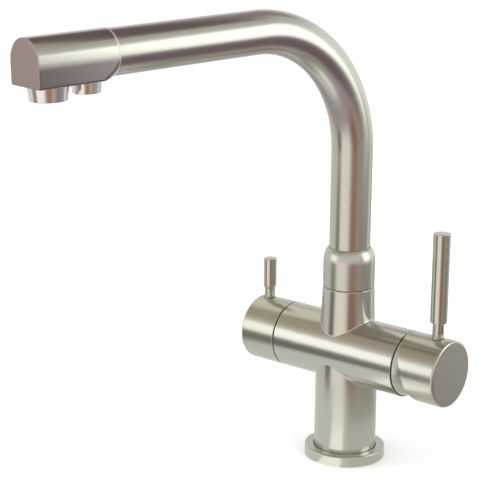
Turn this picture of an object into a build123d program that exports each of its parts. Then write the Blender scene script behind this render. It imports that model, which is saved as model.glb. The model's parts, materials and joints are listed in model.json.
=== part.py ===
from build123d import *
import math
import os

# Drinking water filter tap: hot and cold water through the mixer on the right,
# filtered water through the quarter-turn valve on the left, one swivel spout.
# Millimetres, +Z up, origin on the deck under the middle of the column.
# +X is the mixer side and -Y the front, where the user stands.

# fits and shared values
OVERRUN = 2.0  # how far a cutting body runs past the face that it opens
RUNNING_FIT = 0.05  # radial room of parts that turn or slide in each other
SLIP_FIT = 0.10  # radial room of parts that are pushed in by hand
EDGE_BREAK = 0.3  # small chamfer on machined ends
HANDLE_ROUNDING = 1.5  # rounding of the outer rim of both handle hubs

# barrel, the piece that the other heights and widths are measured from
BARREL_Z = 78.0
BARREL_RADIUS = 22.8
BARREL_TO_MIXER = 51.75
BARREL_TO_FILTER = 47.5
SADDLE_FILLET = 1.0

# column and base
COLUMN_SETBACK = 1.3
COLUMN_RADIUS = BARREL_RADIUS - COLUMN_SETBACK
COLUMN_WALL = 4.3
COLUMN_FOOT_Z = 3.0
CEILING_TO_BARREL = 32.0
HOLLOW_RADIUS = COLUMN_RADIUS - COLUMN_WALL
HOLLOW_CEILING_Z = BARREL_Z - CEILING_TO_BARREL
BASE_RING_OVERHANG = 6.5
BASE_RING_RADIUS = COLUMN_RADIUS + BASE_RING_OVERHANG
BASE_RING_HEIGHT = 7.5
BASE_RING_ROUNDING = 0.9
BASE_RING_GAP = 0.5
LEDGE_SETBACK = 0.3
LEDGE_BORE_RADIUS = HOLLOW_RADIUS + LEDGE_SETBACK
SEAL_GROOVE_LAND = 2.4
SEAL_GROOVE_WIDTH = 3.0
SEAL_GROOVE_DEPTH = 2.0
SEAL_GROOVE_OUTER = BASE_RING_RADIUS - SEAL_GROOVE_LAND
SEAL_GROOVE_INNER = SEAL_GROOVE_OUTER - SEAL_GROOVE_WIDTH

# inlets in the ceiling of the column
INLET_WALL_RADIUS = 4.5  # M10x1
INLET_DEPTH = 8.5
INLET_MARGIN = 2.2
INLET_CIRCLE_RADIUS = HOLLOW_RADIUS - INLET_WALL_RADIUS - INLET_MARGIN
INLET_ANGLES = {"hot": 50, "cold": -50, "filtered": 180}
STUD_WALL_RADIUS = 3.4  # M8
STUD_DEPTH = 10.0
CHANNEL_RADIUS = 3.0

# neck
NECK_SETBACK = 4.05
NECK_ROOT_RADIUS = BARREL_RADIUS - NECK_SETBACK
NECK_MID_TAPER = 0.45
NECK_TOP_TAPER = 1.0
NECK_MID_RADIUS = NECK_ROOT_RADIUS - NECK_MID_TAPER
NECK_TOP_RADIUS = NECK_ROOT_RADIUS - NECK_TOP_TAPER
NECK_TOP_ROUNDING = 0.6
NECK_ROOT_RISE = 12.0
NECK_HEIGHT = 45.0
NECK_MID_DROP = 12.0
NECK_ROOT_Z = BARREL_Z + NECK_ROOT_RISE
NECK_TOP_Z = BARREL_Z + NECK_HEIGHT
NECK_MID_Z = NECK_TOP_Z - NECK_MID_DROP

# inner pivot for filtered water
SPIGOT_RADIUS = 4.0
SPIGOT_BORE_RADIUS = 1.4

# water ways inside the body
NECK_WALL = 5.25
NECK_FLOOR_RISE = 16.0
NECK_BORE_RADIUS = NECK_TOP_RADIUS - NECK_WALL
NECK_FLOOR_Z = BARREL_Z + NECK_FLOOR_RISE
SOCKET_WALL = 2.0
SOCKET_POST_HEIGHT = 10.0
SOCKET_FLOOR_RISE = 3.0
SOCKET_GROOVE_RISE = 3.0
SOCKET_GROOVE_DEPTH = 1.1
SOCKET_GROOVE_WIDTH = 1.6
SOCKET_POST_RADIUS = SPIGOT_RADIUS + SOCKET_WALL
SOCKET_POST_TOP_Z = NECK_FLOOR_Z + SOCKET_POST_HEIGHT
SOCKET_FLOOR_Z = NECK_FLOOR_Z + SOCKET_FLOOR_RISE
SOCKET_GROOVE_RADIUS = SPIGOT_RADIUS + SOCKET_GROOVE_DEPTH
SOCKET_GROOVE_Z = SOCKET_FLOOR_Z + SOCKET_GROOVE_RISE
FILTERED_RISER_RADIUS = 2.2
FILTERED_CROSS_RISE = 11.0
FILTERED_CROSS_Z = BARREL_Z + FILTERED_CROSS_RISE
MIXED_RISER_RADIUS = 2.5

# mixer cartridge across the barrel: each ring fits inside the one before
BARREL_MOUTH_WALL = 1.6
SKIRT_WALL = 1.2
NUT_STEP = 1.7
NUT_WALL = 2.0
HOUSING_WALL = 1.7
HOUSING_LIP = 2.4
HOUSING_NECK_WALL = 2.1
GUIDE_ROOM = 0.2
SKIRT_RADIUS = BARREL_RADIUS - BARREL_MOUTH_WALL
SKIRT_BORE_RADIUS = SKIRT_RADIUS - SKIRT_WALL
NUT_RADIUS = SKIRT_RADIUS - NUT_STEP
HOUSING_RADIUS = NUT_RADIUS - NUT_WALL
HOUSING_BORE_RADIUS = HOUSING_RADIUS - HOUSING_WALL
HOUSING_THROAT_RADIUS = HOUSING_BORE_RADIUS - HOUSING_LIP
HOUSING_NECK_RADIUS = HOUSING_THROAT_RADIUS + HOUSING_NECK_WALL
GUIDE_RADIUS = HOUSING_BORE_RADIUS - GUIDE_ROOM
GUIDE_NECK_RADIUS = HOUSING_THROAT_RADIUS - GUIDE_ROOM
BASE_RIM_RADIUS = HOUSING_RADIUS - SLIP_FIT

# mixer cartridge along the barrel: the pivot sets the rest
PIVOT_INSET = 9.75
CARTRIDGE_DEPTH = 31.0
BASE_LIFT = 0.2
BASE_THICKNESS = 3.8
DISC_THICKNESS = 4.0
PIVOT_X = BARREL_TO_MIXER - PIVOT_INSET
SEAT_X = PIVOT_X - CARTRIDGE_DEPTH
BASE_FACE_X = SEAT_X + BASE_LIFT
FIXED_DISC_X = BASE_FACE_X + BASE_THICKNESS
MOVING_DISC_X = FIXED_DISC_X + DISC_THICKNESS + RUNNING_FIT
MIXED_RISER_INSET = 5.0
MIXED_RISER_X = SEAT_X - MIXED_RISER_INSET

# cartridge base
PORT_CIRCLE_RADIUS = 7.2
PORT_RADIUS = 2.2
PORT_ANGLES = (42.5, 137.5, 270)  # hot, cold, mixed
PORT_SEAL_WIDTH = 1.4
PORT_SEAL_HEIGHT = 1.2
PEG_INSET = 4.1
PEG_CIRCLE_RADIUS = HOUSING_RADIUS - PEG_INSET
PEG_RADIUS = 1.6
PEG_LENGTH = 3.0

# ceramic discs of the mixer
FIXED_DISC_ROOM = 1.2
FIXED_DISC_RADIUS = HOUSING_BORE_RADIUS - FIXED_DISC_ROOM
MOVING_DISC_ROOM = 4.3
MOVING_DISC_RADIUS = HOUSING_BORE_RADIUS - MOVING_DISC_ROOM
KIDNEY_CIRCLE_RADIUS = 6.8
KIDNEY_HALF_WIDTH = 1.9
KIDNEY_START_ANGLE = 25
KIDNEY_SWEEP_ANGLE = 35
OUTLET_PORT_DROP = 5.5
OUTLET_PORT_RADIUS = 2.8
MIXING_POCKET_RADIUS = 5.0
MIXING_POCKET_LENGTH = 3.7
MIXING_POCKET_SHIFT = -1.05
MIXING_POCKET_DEPTH = 2.3

# tilt of the spindle and its ball end
TILT_ANGLE = 25
TILT_HALF_ANGLE = TILT_ANGLE / 2
BALL_REACH = 12.5
BALL_RADIUS = 2.6
BALL_FOOT_ROOM = 0.5
DISC_SHIFT = BALL_REACH * math.sin(math.radians(TILT_HALF_ANGLE))

# slider on the moving disc
CARRIER_EDGE = 0.2
CARRIER_RADIUS = MOVING_DISC_RADIUS - CARRIER_EDGE
CARRIER_PLATE = 3.5
CARRIER_FOOT_X = MOVING_DISC_X + DISC_THICKNESS
CARRIER_HEIGHT = 7.95
CARRIER_TOP_X = CARRIER_FOOT_X + CARRIER_HEIGHT
CARRIER_BLOCK_WIDTH = 12.0
CARRIER_BLOCK_LENGTH = 13.0
CARRIER_PEG_Y = 8.0
CARRIER_PEG_RADIUS = 1.3
CARRIER_PEG_LENGTH = 1.4
BALL_POCKET_WIDTH = 8.0
BALL_POCKET_FLOOR_X = PIVOT_X - BALL_REACH - BALL_RADIUS - BALL_FOOT_ROOM

# housing, guide, pin and nut along the barrel
HOUSING_SHOULDER_INSET = 2.9
HOUSING_STEP_REACH = 2.0
HOUSING_TOP_REACH = 4.5
HOUSING_SHOULDER_X = PIVOT_X - HOUSING_SHOULDER_INSET
HOUSING_STEP_X = PIVOT_X + HOUSING_STEP_REACH
HOUSING_TOP_X = PIVOT_X + HOUSING_TOP_REACH
GUIDE_FOOT_ROOM = 0.35
GUIDE_TRACK_ROOM = 0.4
GUIDE_RIM = 0.5
GUIDE_FOOT_X = CARRIER_FOOT_X + CARRIER_PLATE + GUIDE_FOOT_ROOM
GUIDE_TRACK_X = CARRIER_TOP_X + GUIDE_TRACK_ROOM
GUIDE_TOP_X = HOUSING_TOP_X + GUIDE_RIM
GUIDE_TRACK_END = 0.5
GUIDE_TRACK_LENGTH = CARRIER_BLOCK_LENGTH + 2 * (DISC_SHIFT + GUIDE_TRACK_END)
GUIDE_SLOT_HEIGHT = 11.0
PIN_RADIUS = 2.0
PIN_INSET = 0.4
PIN_LENGTH = 2 * (GUIDE_NECK_RADIUS - PIN_INSET)
NUT_OVERLAP = 3.0
NUT_RIM = 3.8
NUT_START_X = HOUSING_STEP_X - NUT_OVERLAP
NUT_TOP_X = HOUSING_TOP_X + NUT_RIM
NUT_NOTCHES = 4
NUT_NOTCH_WIDTH = 4.0
NUT_NOTCH_DEPTH = 3.0

# mixer handle
SPINDLE_NECK_RADIUS = 2.2
SPINDLE_WIDTH = 8.0
SPINDLE_SHANK_START = 5.0
SPINDLE_REACH = 34.0
HUB_SETBACK = 0.15
HUB_RADIUS = BARREL_RADIUS - HUB_SETBACK
HUB_FACE_REACH = 43.0
HUB_CUT_REACH = 17.4
HUB_FACE_X = PIVOT_X + HUB_FACE_REACH
HUB_CUT_X = PIVOT_X + HUB_CUT_REACH
HUB_CUT_ANGLE = 17.3
DOME_SWELL = 1.6
DOME_RADIUS = HUB_RADIUS + DOME_SWELL
DOME_GAP = 0.35
DOME_RIM_GAP = 0.45
DOME_RIM_X = BARREL_TO_MIXER + DOME_RIM_GAP
DOME_WALL = 1.5
DOME_MOUTH_RADIUS = 12.5
SKIRT_DEPTH = 5.25
SKIRT_FOOT_X = BARREL_TO_MIXER - SKIRT_DEPTH
GRUB_RADIUS = 2.5
GRUB_LENGTH = 10.0
GRUB_REACH = 30.0
GRUB_SOCKET_WIDTH = 2.5
GRUB_SOCKET_DEPTH = 3.0

# levers, both screwed into their hubs from above
LEVER_FOOT_RECESS = 1.6
LEVER_FOOT_ROOM = 0.35
LEVER_THREAD_RADIUS = 3.0
LEVER_THREAD_RISE = 14.5
LEVER_THREAD_FOOT_Z = BARREL_Z + LEVER_THREAD_RISE
LEVER_NECK_FOOT_Z = BARREL_Z + BARREL_RADIUS - LEVER_FOOT_RECESS
MIXER_LEVER_INSET = 11.3
MIXER_LEVER_X = HUB_FACE_X - MIXER_LEVER_INSET
MIXER_LEVER_NECK_RADIUS = 3.83
MIXER_LEVER_GRIP_RADIUS = 5.65
MIXER_LEVER_NECK_RISE = 34.0
MIXER_LEVER_GRIP_LENGTH = 60.3
MIXER_LEVER_GRIP_Z = BARREL_Z + MIXER_LEVER_NECK_RISE
MIXER_LEVER_TOP_Z = MIXER_LEVER_GRIP_Z + MIXER_LEVER_GRIP_LENGTH

# filter valve across the barrel
VALVE_BORE_RADIUS = 10.3
VALVE_CHAMBER_UNDERCUT = 2.9
VALVE_NOSE_GAP = 1.0
VALVE_NOSE_WALL = 1.2
VALVE_HEX_FLANGE = 0.7
VALVE_HEX_CLEARANCE = 3.2
VALVE_CHAMBER_RADIUS = VALVE_BORE_RADIUS + VALVE_CHAMBER_UNDERCUT
VALVE_NOSE_RADIUS = VALVE_BORE_RADIUS - VALVE_NOSE_GAP
VALVE_INNER_RADIUS = VALVE_NOSE_RADIUS - VALVE_NOSE_WALL
VALVE_HEX_WIDTH = 2 * (VALVE_BORE_RADIUS + VALVE_HEX_FLANGE)
VALVE_HEX_ROOM = VALVE_BORE_RADIUS + VALVE_HEX_CLEARANCE
VALVE_DISC_RADIUS = VALVE_INNER_RADIUS - SLIP_FIT
VALVE_NECK_WALL = 3.0
VALVE_STEM_RADIUS = 5.0
VALVE_NECK_RADIUS = VALVE_STEM_RADIUS + VALVE_NECK_WALL
VALVE_FEED_RADIUS = 4.0
SEAT_SEAL_WIDTH = 3.6
SEAT_SEAL_BORE = VALVE_DISC_RADIUS - SEAT_SEAL_WIDTH

# filter valve along the barrel, away from the column
VALVE_DEPTH = 26.0
VALVE_CHAMBER_LAND = 1.5
VALVE_CHAMBER_LENGTH = 9.0
VALVE_FOOT_GAP = 0.5
VALVE_THREAD_REACH = 11.5
VALVE_THREAD_INSET = 6.5
VALVE_HEX_HEIGHT = 5.0
VALVE_NECK_LENGTH = 6.0
VALVE_SHOULDER_REACH = 11.6
VALVE_WINDOW_WIDTH = 9.0
VALVE_WINDOW_REACH = 4.3
VALVE_WINDOW_LENGTH = 4.4
VALVE_DISC_THICKNESS = 3.0
SEAT_SEAL_HEIGHT = 2.0
VALVE_SEAT_X = BARREL_TO_FILTER - VALVE_DEPTH
VALVE_CHAMBER_START = VALVE_SEAT_X + VALVE_CHAMBER_LAND
VALVE_CHAMBER_END = VALVE_CHAMBER_START + VALVE_CHAMBER_LENGTH
VALVE_FOOT_X = VALVE_SEAT_X + VALVE_FOOT_GAP
VALVE_THREAD_START = VALVE_SEAT_X + VALVE_THREAD_REACH
VALVE_THREAD_END = BARREL_TO_FILTER - VALVE_THREAD_INSET
VALVE_HEX_END = VALVE_THREAD_END + VALVE_HEX_HEIGHT
VALVE_NECK_END = VALVE_HEX_END + VALVE_NECK_LENGTH
VALVE_SHOULDER_X = VALVE_SEAT_X + VALVE_SHOULDER_REACH
VALVE_WINDOW_START = VALVE_SEAT_X + VALVE_WINDOW_REACH
SEAT_SEAL_END = VALVE_SEAT_X + SEAT_SEAL_HEIGHT
VALVE_MOVING_START = SEAT_SEAL_END + VALVE_DISC_THICKNESS + RUNNING_FIT

# openings of the valve discs
VALVE_SLOT_INSET = 3.1
VALVE_SLOT_CIRCLE = VALVE_DISC_RADIUS - VALVE_SLOT_INSET
VALVE_SLOT_HALF_WIDTH = 1.5
VALVE_SLOT_SWEEP_ANGLE = 44
VALVE_WEDGE_SWEEP_ANGLE = 84
VALVE_DISC_HUB_RADIUS = 2.6
VALVE_TONGUE_WIDTH = 3.0
VALVE_TONGUE_DEPTH = 1.3

# grooves of the valve spindle
VALVE_RING_GROOVE_DEPTH = 1.1
VALVE_RING_GROOVE_WIDTH = 1.8
VALVE_RING_GROOVE_INSET = 2.0
VALVE_RING_GROOVE_RADIUS = VALVE_STEM_RADIUS - VALVE_RING_GROOVE_DEPTH
VALVE_RING_GROOVE_START = VALVE_HEX_END - VALVE_RING_GROOVE_INSET
CLIP_WIDTH = 0.9
CLIP_GROOVE_DEPTH = 0.8
CLIP_RIM = 2.0
CLIP_OPENING = 6.0
CLIP_GAP = 0.3
CLIP_GROOVE_START = VALVE_NECK_END + CLIP_GAP
CLIP_GROOVE_RADIUS = VALVE_STEM_RADIUS - CLIP_GROOVE_DEPTH
CLIP_RADIUS = VALVE_STEM_RADIUS + CLIP_RIM

# filter handle
FILTER_HUB_GAP = 0.7
FILTER_HUB_LENGTH = 28.8
FILTER_HUB_WALL = 7.8
FILTER_HUB_RECESS_ROOM = 4.6
FILTER_HUB_START = BARREL_TO_FILTER + FILTER_HUB_GAP
FILTER_HUB_END = FILTER_HUB_START + FILTER_HUB_LENGTH
FILTER_HUB_RADIUS = BARREL_RADIUS
FILTER_HUB_RECESS_RADIUS = FILTER_HUB_RADIUS - FILTER_HUB_WALL
FILTER_HUB_RECESS_END = VALVE_NECK_END + FILTER_HUB_RECESS_ROOM
SPLINE_STEP = 1.0
SPLINE_TOOTH_HEIGHT = 0.4
SPLINE_LEAD = 0.6
SPLINE_INSET = 7.0
SPLINE_TEETH = 20
SPLINE_RADIUS = VALVE_STEM_RADIUS - SPLINE_STEP
SPLINE_ROOT_RADIUS = SPLINE_RADIUS - SPLINE_TOOTH_HEIGHT
SPLINE_START = FILTER_HUB_RECESS_END - SPLINE_LEAD
SPLINE_END = FILTER_HUB_END - SPLINE_INSET
FILTER_LEVER_INSET = 7.7
FILTER_LEVER_X = FILTER_HUB_END - FILTER_LEVER_INSET
FILTER_LEVER_NECK_RADIUS = 3.7
FILTER_LEVER_GRIP_RADIUS = 4.6
FILTER_LEVER_NECK_RISE = 29.4
FILTER_LEVER_SHOULDER_HEIGHT = 2.7
FILTER_LEVER_GRIP_LENGTH = 19.7
FILTER_LEVER_SHOULDER_Z = BARREL_Z + FILTER_LEVER_NECK_RISE
FILTER_LEVER_GRIP_Z = FILTER_LEVER_SHOULDER_Z + FILTER_LEVER_SHOULDER_HEIGHT
FILTER_LEVER_TOP_Z = FILTER_LEVER_GRIP_Z + FILTER_LEVER_GRIP_LENGTH
FILTER_GRUB_INSET = 15.0
FILTER_GRUB_X = FILTER_HUB_END - FILTER_GRUB_INSET
FILTER_GRUB_RADIUS = 2.0
FILTER_GRUB_LENGTH = 6.0
FILTER_GRUB_SOCKET = 2.0

# spout tube, set back inside the collar
COLLAR_SETBACK = 0.05
COLLAR_RADIUS = NECK_TOP_RADIUS - COLLAR_SETBACK
TUBE_SETBACK = 3.7
TUBE_RADIUS = COLLAR_RADIUS - TUBE_SETBACK
TUBE_WALL = 1.4
TUBE_BORE_RADIUS = TUBE_RADIUS - TUBE_WALL
BEND_RADIUS = 86.0
SPOUT_SWING_ANGLE = 9.01  # towards the filter side
SPOUT_SLOPE_ANGLE = 1.49  # down towards the head

# swivel of the spout
COLLAR_GAP = 0.3
COLLAR_WALL = 1.45
COLLAR_HEIGHT = 17.7
COLLAR_DOME_HEIGHT = 9.4
COLLAR_DOME_MID_RISE = 5.9
COLLAR_DOME_MID_INSET = 0.9
COLLAR_TOP_LIP = 0.6
COLLAR_FOOT_Z = NECK_TOP_Z + COLLAR_GAP
COLLAR_DOME_Z = COLLAR_FOOT_Z + COLLAR_HEIGHT
COLLAR_DOME_MID_Z = COLLAR_DOME_Z + COLLAR_DOME_MID_RISE
COLLAR_DOME_MID_RADIUS = COLLAR_RADIUS - COLLAR_DOME_MID_INSET
COLLAR_TOP_Z = COLLAR_DOME_Z + COLLAR_DOME_HEIGHT
COLLAR_TOP_RADIUS = TUBE_RADIUS + COLLAR_TOP_LIP
COLLAR_BORE_RADIUS = COLLAR_RADIUS - COLLAR_WALL
TUBE_RISE = 66.5
BEND_START_Z = COLLAR_TOP_Z + TUBE_RISE
GLIDE_RING_THICKNESS = 1.3
GLIDE_RING_ROOM = 0.25
GLIDE_RING_RADIUS = COLLAR_BORE_RADIUS - GLIDE_RING_ROOM
FLANGE_THICKNESS = 4.0
FLANGE_FOOT_Z = NECK_TOP_Z + GLIDE_RING_THICKNESS
FLANGE_TOP_Z = FLANGE_FOOT_Z + FLANGE_THICKNESS
NIPPLE_LIFT = 2.0
NIPPLE_PLUG_LENGTH = 7.7
NIPPLE_WALL = 4.0
NIPPLE_FOOT_Z = SOCKET_POST_TOP_Z + NIPPLE_LIFT
NIPPLE_TOP_Z = FLANGE_TOP_Z + NIPPLE_PLUG_LENGTH
NIPPLE_BORE_RADIUS = NECK_BORE_RADIUS - NIPPLE_WALL
NIPPLE_RING_GROOVE_DEPTH = 1.8
NIPPLE_RING_GROOVE_WIDTH = 2.4
NIPPLE_RING_GROOVE_RADIUS = NECK_BORE_RADIUS - NIPPLE_RING_GROOVE_DEPTH
LOWER_RING_RISE = 3.8
UPPER_RING_DROP = 2.4
NIPPLE_RING_Z = (NIPPLE_FOOT_Z + LOWER_RING_RISE, NECK_TOP_Z - UPPER_RING_DROP)
STOP_GROOVE_DROP = 8.0
STOP_GROOVE_WIDTH = 3.2
STOP_GROOVE_DEPTH = 1.5
STOP_GROOVE_Z = NECK_TOP_Z - STOP_GROOVE_DROP
STOP_GROOVE_RADIUS = NECK_BORE_RADIUS - STOP_GROOVE_DEPTH
STOP_SCREW_RADIUS = 2.5
STOP_SCREW_LENGTH = 4.7
STOP_DOG_RADIUS = 1.4
STOP_DOG_GAP = 0.2
STOP_DOG_TIP = STOP_GROOVE_RADIUS + STOP_DOG_GAP
SPIDER_SEAT = 1.5
SPIDER_INSET = 4.0
SPIDER_THICKNESS = 2.5
SPIDER_RADIUS = NIPPLE_BORE_RADIUS + SPIDER_SEAT
SPIDER_Z = NIPPLE_TOP_Z - SPIDER_INSET
SPIDER_HOLES = 6
SPIDER_HOLE_RADIUS = 2.2
SPIDER_HOLE_INSET = 1.9
SPIDER_HOLE_CIRCLE = NIPPLE_BORE_RADIUS - SPIDER_HOLE_INSET
SPIGOT_FOOT_GAP = 0.5
SPIGOT_FOOT_Z = SOCKET_FLOOR_Z + SPIGOT_FOOT_GAP
BARB_LENGTH = 10.0
HOSE_RADIUS = 3.18
HOSE_BORE_RADIUS = 2.1
HOSE_FOOT_GAP = 0.5
HOSE_START_Z = SPIDER_Z + SPIDER_THICKNESS + HOSE_FOOT_GAP

# spout head, places along the spout from the column axis
HEAD_START = 202.0
HEAD_LENGTH = 56.0
HEAD_END = HEAD_START + HEAD_LENGTH
HEAD_SIDE_STEP = 0.5
HEAD_HALF_WIDTH = TUBE_RADIUS + HEAD_SIDE_STEP
HEAD_DEPTH = 13.6
HEAD_CORNER_ROUNDING = 1.0
HEAD_EDGE_CHAMFER = 0.4
HEAD_RING_STEP = 0.4
HEAD_RING_LENGTH = 0.8
HEAD_RING_RADIUS = TUBE_RADIUS + HEAD_RING_STEP
HEAD_THROAT = HEAD_START + HEAD_RING_LENGTH
HEAD_FLARE_MID_REACH = 5.7
HEAD_FLARE_MID_SWELL = 2.4
HEAD_FLARE_END_REACH = 14.4
HEAD_FLARE_END_SWELL = 5.8
HEAD_FLARE_MID = HEAD_START + HEAD_FLARE_MID_REACH
HEAD_FLARE_MID_RADIUS = HEAD_HALF_WIDTH + HEAD_FLARE_MID_SWELL
HEAD_FLARE_END = HEAD_START + HEAD_FLARE_END_REACH
HEAD_FLARE_END_RADIUS = HEAD_HALF_WIDTH + HEAD_FLARE_END_SWELL
HEAD_SPIGOT_LENGTH = 10.0
HEAD_SPIGOT_WALL = 1.4
HEAD_SPIGOT_BORE_RADIUS = TUBE_BORE_RADIUS - HEAD_SPIGOT_WALL
HEAD_WALL = 3.3
HEAD_END_WALL = 4.0
HEAD_FLOOR_THICKNESS = 8.6
HEAD_CHAMBER_HALF_WIDTH = HEAD_HALF_WIDTH - HEAD_WALL
HEAD_CHAMBER_START = HEAD_START + HEAD_END_WALL
HEAD_CHAMBER_END = HEAD_END - HEAD_END_WALL
HEAD_CHAMBER_FLOOR = HEAD_DEPTH - HEAD_FLOOR_THICKNESS

# both outlets under the head
OUTLET_LIP_THICKNESS = 1.6
OUTLET_WASHER_THICKNESS = 1.3
OUTLET_LIP_DROP = HEAD_CHAMBER_FLOOR + OUTLET_LIP_THICKNESS
OUTLET_NECK_DROP = OUTLET_LIP_DROP + OUTLET_WASHER_THICKNESS
OUTLET_SEAT_GAP = 0.1
OUTLET_MOUTH_LIP = 1.2
OUTLET_MOUTH_HEIGHT = 1.0
OUTLET_RIM_ROUNDING = 0.5

# mixed water outlet
AERATOR_INSET = 14.8
AERATOR_AT = HEAD_END - AERATOR_INSET
AERATOR_THREAD_RADIUS = 10.5
AERATOR_LIP_WIDTH = 2.5
AERATOR_SHOULDER = 1.6
AERATOR_TAPER = 1.1
AERATOR_WALL = 1.5
AERATOR_SKIRT_LENGTH = 8.8
AERATOR_LIP_RADIUS = AERATOR_THREAD_RADIUS - AERATOR_LIP_WIDTH
AERATOR_TOP_RADIUS = AERATOR_THREAD_RADIUS + AERATOR_SHOULDER
AERATOR_END_RADIUS = AERATOR_TOP_RADIUS - AERATOR_TAPER
AERATOR_BORE_RADIUS = AERATOR_END_RADIUS - AERATOR_WALL
AERATOR_END_DROP = HEAD_DEPTH + AERATOR_SKIRT_LENGTH

# filtered water outlet
NOZZLE_INSET = 15.0
NOZZLE_AT = HEAD_START + NOZZLE_INSET
NOZZLE_THREAD_RADIUS = 7.5
NOZZLE_LIP_WIDTH = 2.45
NOZZLE_SHOULDER = 1.5
NOZZLE_TAPER = 0.7
NOZZLE_WALL = 1.8
NOZZLE_SKIRT_LENGTH = 7.7
NOZZLE_LIP_RADIUS = NOZZLE_THREAD_RADIUS - NOZZLE_LIP_WIDTH
NOZZLE_TOP_RADIUS = NOZZLE_THREAD_RADIUS + NOZZLE_SHOULDER
NOZZLE_END_RADIUS = NOZZLE_TOP_RADIUS - NOZZLE_TAPER
NOZZLE_BORE_RADIUS = NOZZLE_END_RADIUS - NOZZLE_WALL
NOZZLE_END_DROP = HEAD_DEPTH + NOZZLE_SKIRT_LENGTH

# inserts in the outlets; each ring of holes is a share of the bore
AERATOR_INSERT_HEIGHT = 8.0
NOZZLE_INSERT_HEIGHT = 6.0
INSERT_PLATE = 1.6
INSERT_WALL = 1.2
AERATOR_HOLE_RADIUS = 0.75
AERATOR_HOLE_RING_SHARES = {0.25: 6, 0.5: 12, 0.74: 18}  # share of the bore: number of holes
NOZZLE_HOLE_RADIUS = 0.7
NOZZLE_HOLE_RING_SHARES = {0.31: 5, 0.63: 10}

# elbow between the hose and the filtered water outlet
ELBOW_FLANGE_RIM = 1.95
ELBOW_FLANGE_RADIUS = NOZZLE_LIP_RADIUS + ELBOW_FLANGE_RIM
ELBOW_FLANGE_HEIGHT = 1.6
ELBOW_RADIUS = 4.0
ELBOW_FOOT_GAP = 0.5
ELBOW_FOOT_DROP = OUTLET_NECK_DROP - ELBOW_FOOT_GAP
ELBOW_TOP = 4.0

# local axes: the mixer and the filter valve look outwards along the barrel,
# with their own z away from the column and their own y up
MIXER_AXIS = Plane(origin=(0, 0, BARREL_Z), x_dir=(0, 1, 0), z_dir=(1, 0, 0)).location
FILTER_AXIS = Plane(origin=(0, 0, BARREL_Z), x_dir=(0, -1, 0), z_dir=(-1, 0, 0)).location
SPINDLE_AXIS = MIXER_AXIS * Pos(0, 0, PIVOT_X) * Rot(-TILT_HALF_ANGLE, 0, 0)

# the spout runs along its own x, starting from the column axis
SWING = math.radians(SPOUT_SWING_ANGLE)
SLOPE = math.radians(SPOUT_SLOPE_ANGLE)
BEND_TURN = math.pi / 2 + SLOPE
SPOUT_START_Z = (
    BEND_START_Z
    + BEND_RADIUS * math.sin(BEND_TURN)
    + BEND_RADIUS * (1 - math.cos(BEND_TURN)) * math.tan(SLOPE)
)
SPOUT_LEVEL = Vector(-math.sin(SWING), -math.cos(SWING), 0)
SPOUT_ALONG = SPOUT_LEVEL * math.cos(SLOPE) - Vector(0, 0, 1) * math.sin(SLOPE)
SPOUT_UP = SPOUT_LEVEL * math.sin(SLOPE) + Vector(0, 0, 1) * math.cos(SLOPE)
SPOUT_AXIS = Plane(origin=(0, 0, SPOUT_START_Z), x_dir=SPOUT_ALONG, z_dir=SPOUT_UP).location
TURN_TO_X = Rot(0, 90, 0)


def rod(radius, low, high):
    """Cylinder about Z between two heights."""
    upright = (Align.CENTER, Align.CENTER, Align.MIN)
    return Pos(0, 0, low) * Cylinder(radius, high - low, align=upright)


def turned(*corners):
    """Solid turned about Z from (radius, height) corners."""
    outline = Polyline(*[(radius, 0, height) for radius, height in corners], close=True)
    return revolve(make_face(outline), Axis.Z)


def sleeve(outer, inner, low, high):
    """Tube about Z between two heights."""
    return turned((inner, low), (outer, low), (outer, high), (inner, high))


def o_ring(inner, outer, height):
    """Round-section seal that just touches both of its walls."""
    return Pos(0, 0, height) * Torus((inner + outer) / 2, (outer - inner) / 2)


def on_circle(radius, degrees):
    """Point of a circle about the origin."""
    angle = math.radians(degrees)
    return radius * math.cos(angle), radius * math.sin(angle)


def curved_slot(radius, half_width, start, sweep, low, high):
    """Kidney-shaped cutting body on a circle about Z."""
    slot = SlotArc(CenterArc((0, 0), radius, start, sweep), height=2 * half_width)
    return Pos(0, 0, low) * extrude(slot, high - low)


def hexagon(width, low, high):
    """Hexagonal prism about Z, measured across its flats."""
    outline = RegularPolygon(width / 2, 6, major_radius=False)
    return Pos(0, 0, low) * extrude(outline, high - low)


def block(size_x, size_y, low, high):
    """Box centred on Z between two heights."""
    upright = (Align.CENTER, Align.CENTER, Align.MIN)
    return Pos(0, 0, low) * Box(size_x, size_y, high - low, align=upright)


def body_outside():
    """Column, barrel and neck as one casting, with small fillets at the saddles."""
    column = rod(COLUMN_RADIUS, COLUMN_FOOT_Z, BARREL_Z)
    barrel = Pos(-BARREL_TO_FILTER, 0, BARREL_Z) * TURN_TO_X
    barrel = barrel * rod(BARREL_RADIUS, 0, BARREL_TO_FILTER + BARREL_TO_MIXER)
    barrel = chamfer(barrel.edges().filter_by(GeomType.CIRCLE), EDGE_BREAK)
    flank = ThreePointArc(
        (NECK_ROOT_RADIUS, 0, NECK_ROOT_Z),
        (NECK_MID_RADIUS, 0, NECK_MID_Z),
        (NECK_TOP_RADIUS, 0, NECK_TOP_Z),
    )
    rest = Polyline(
        (NECK_TOP_RADIUS, 0, NECK_TOP_Z),
        (0, 0, NECK_TOP_Z),
        (0, 0, BARREL_Z),
        (NECK_ROOT_RADIUS, 0, BARREL_Z),
        (NECK_ROOT_RADIUS, 0, NECK_ROOT_Z),
    )
    neck = revolve(make_face(flank + rest), Axis.Z)
    neck = fillet(neck.edges().sort_by(Axis.Z)[-1], NECK_TOP_ROUNDING)
    body = column + barrel + neck
    saddles = body.edges().filter_by(lambda edge: edge.geom_type not in (GeomType.LINE, GeomType.CIRCLE))
    return fillet(saddles, SADDLE_FILLET)


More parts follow.
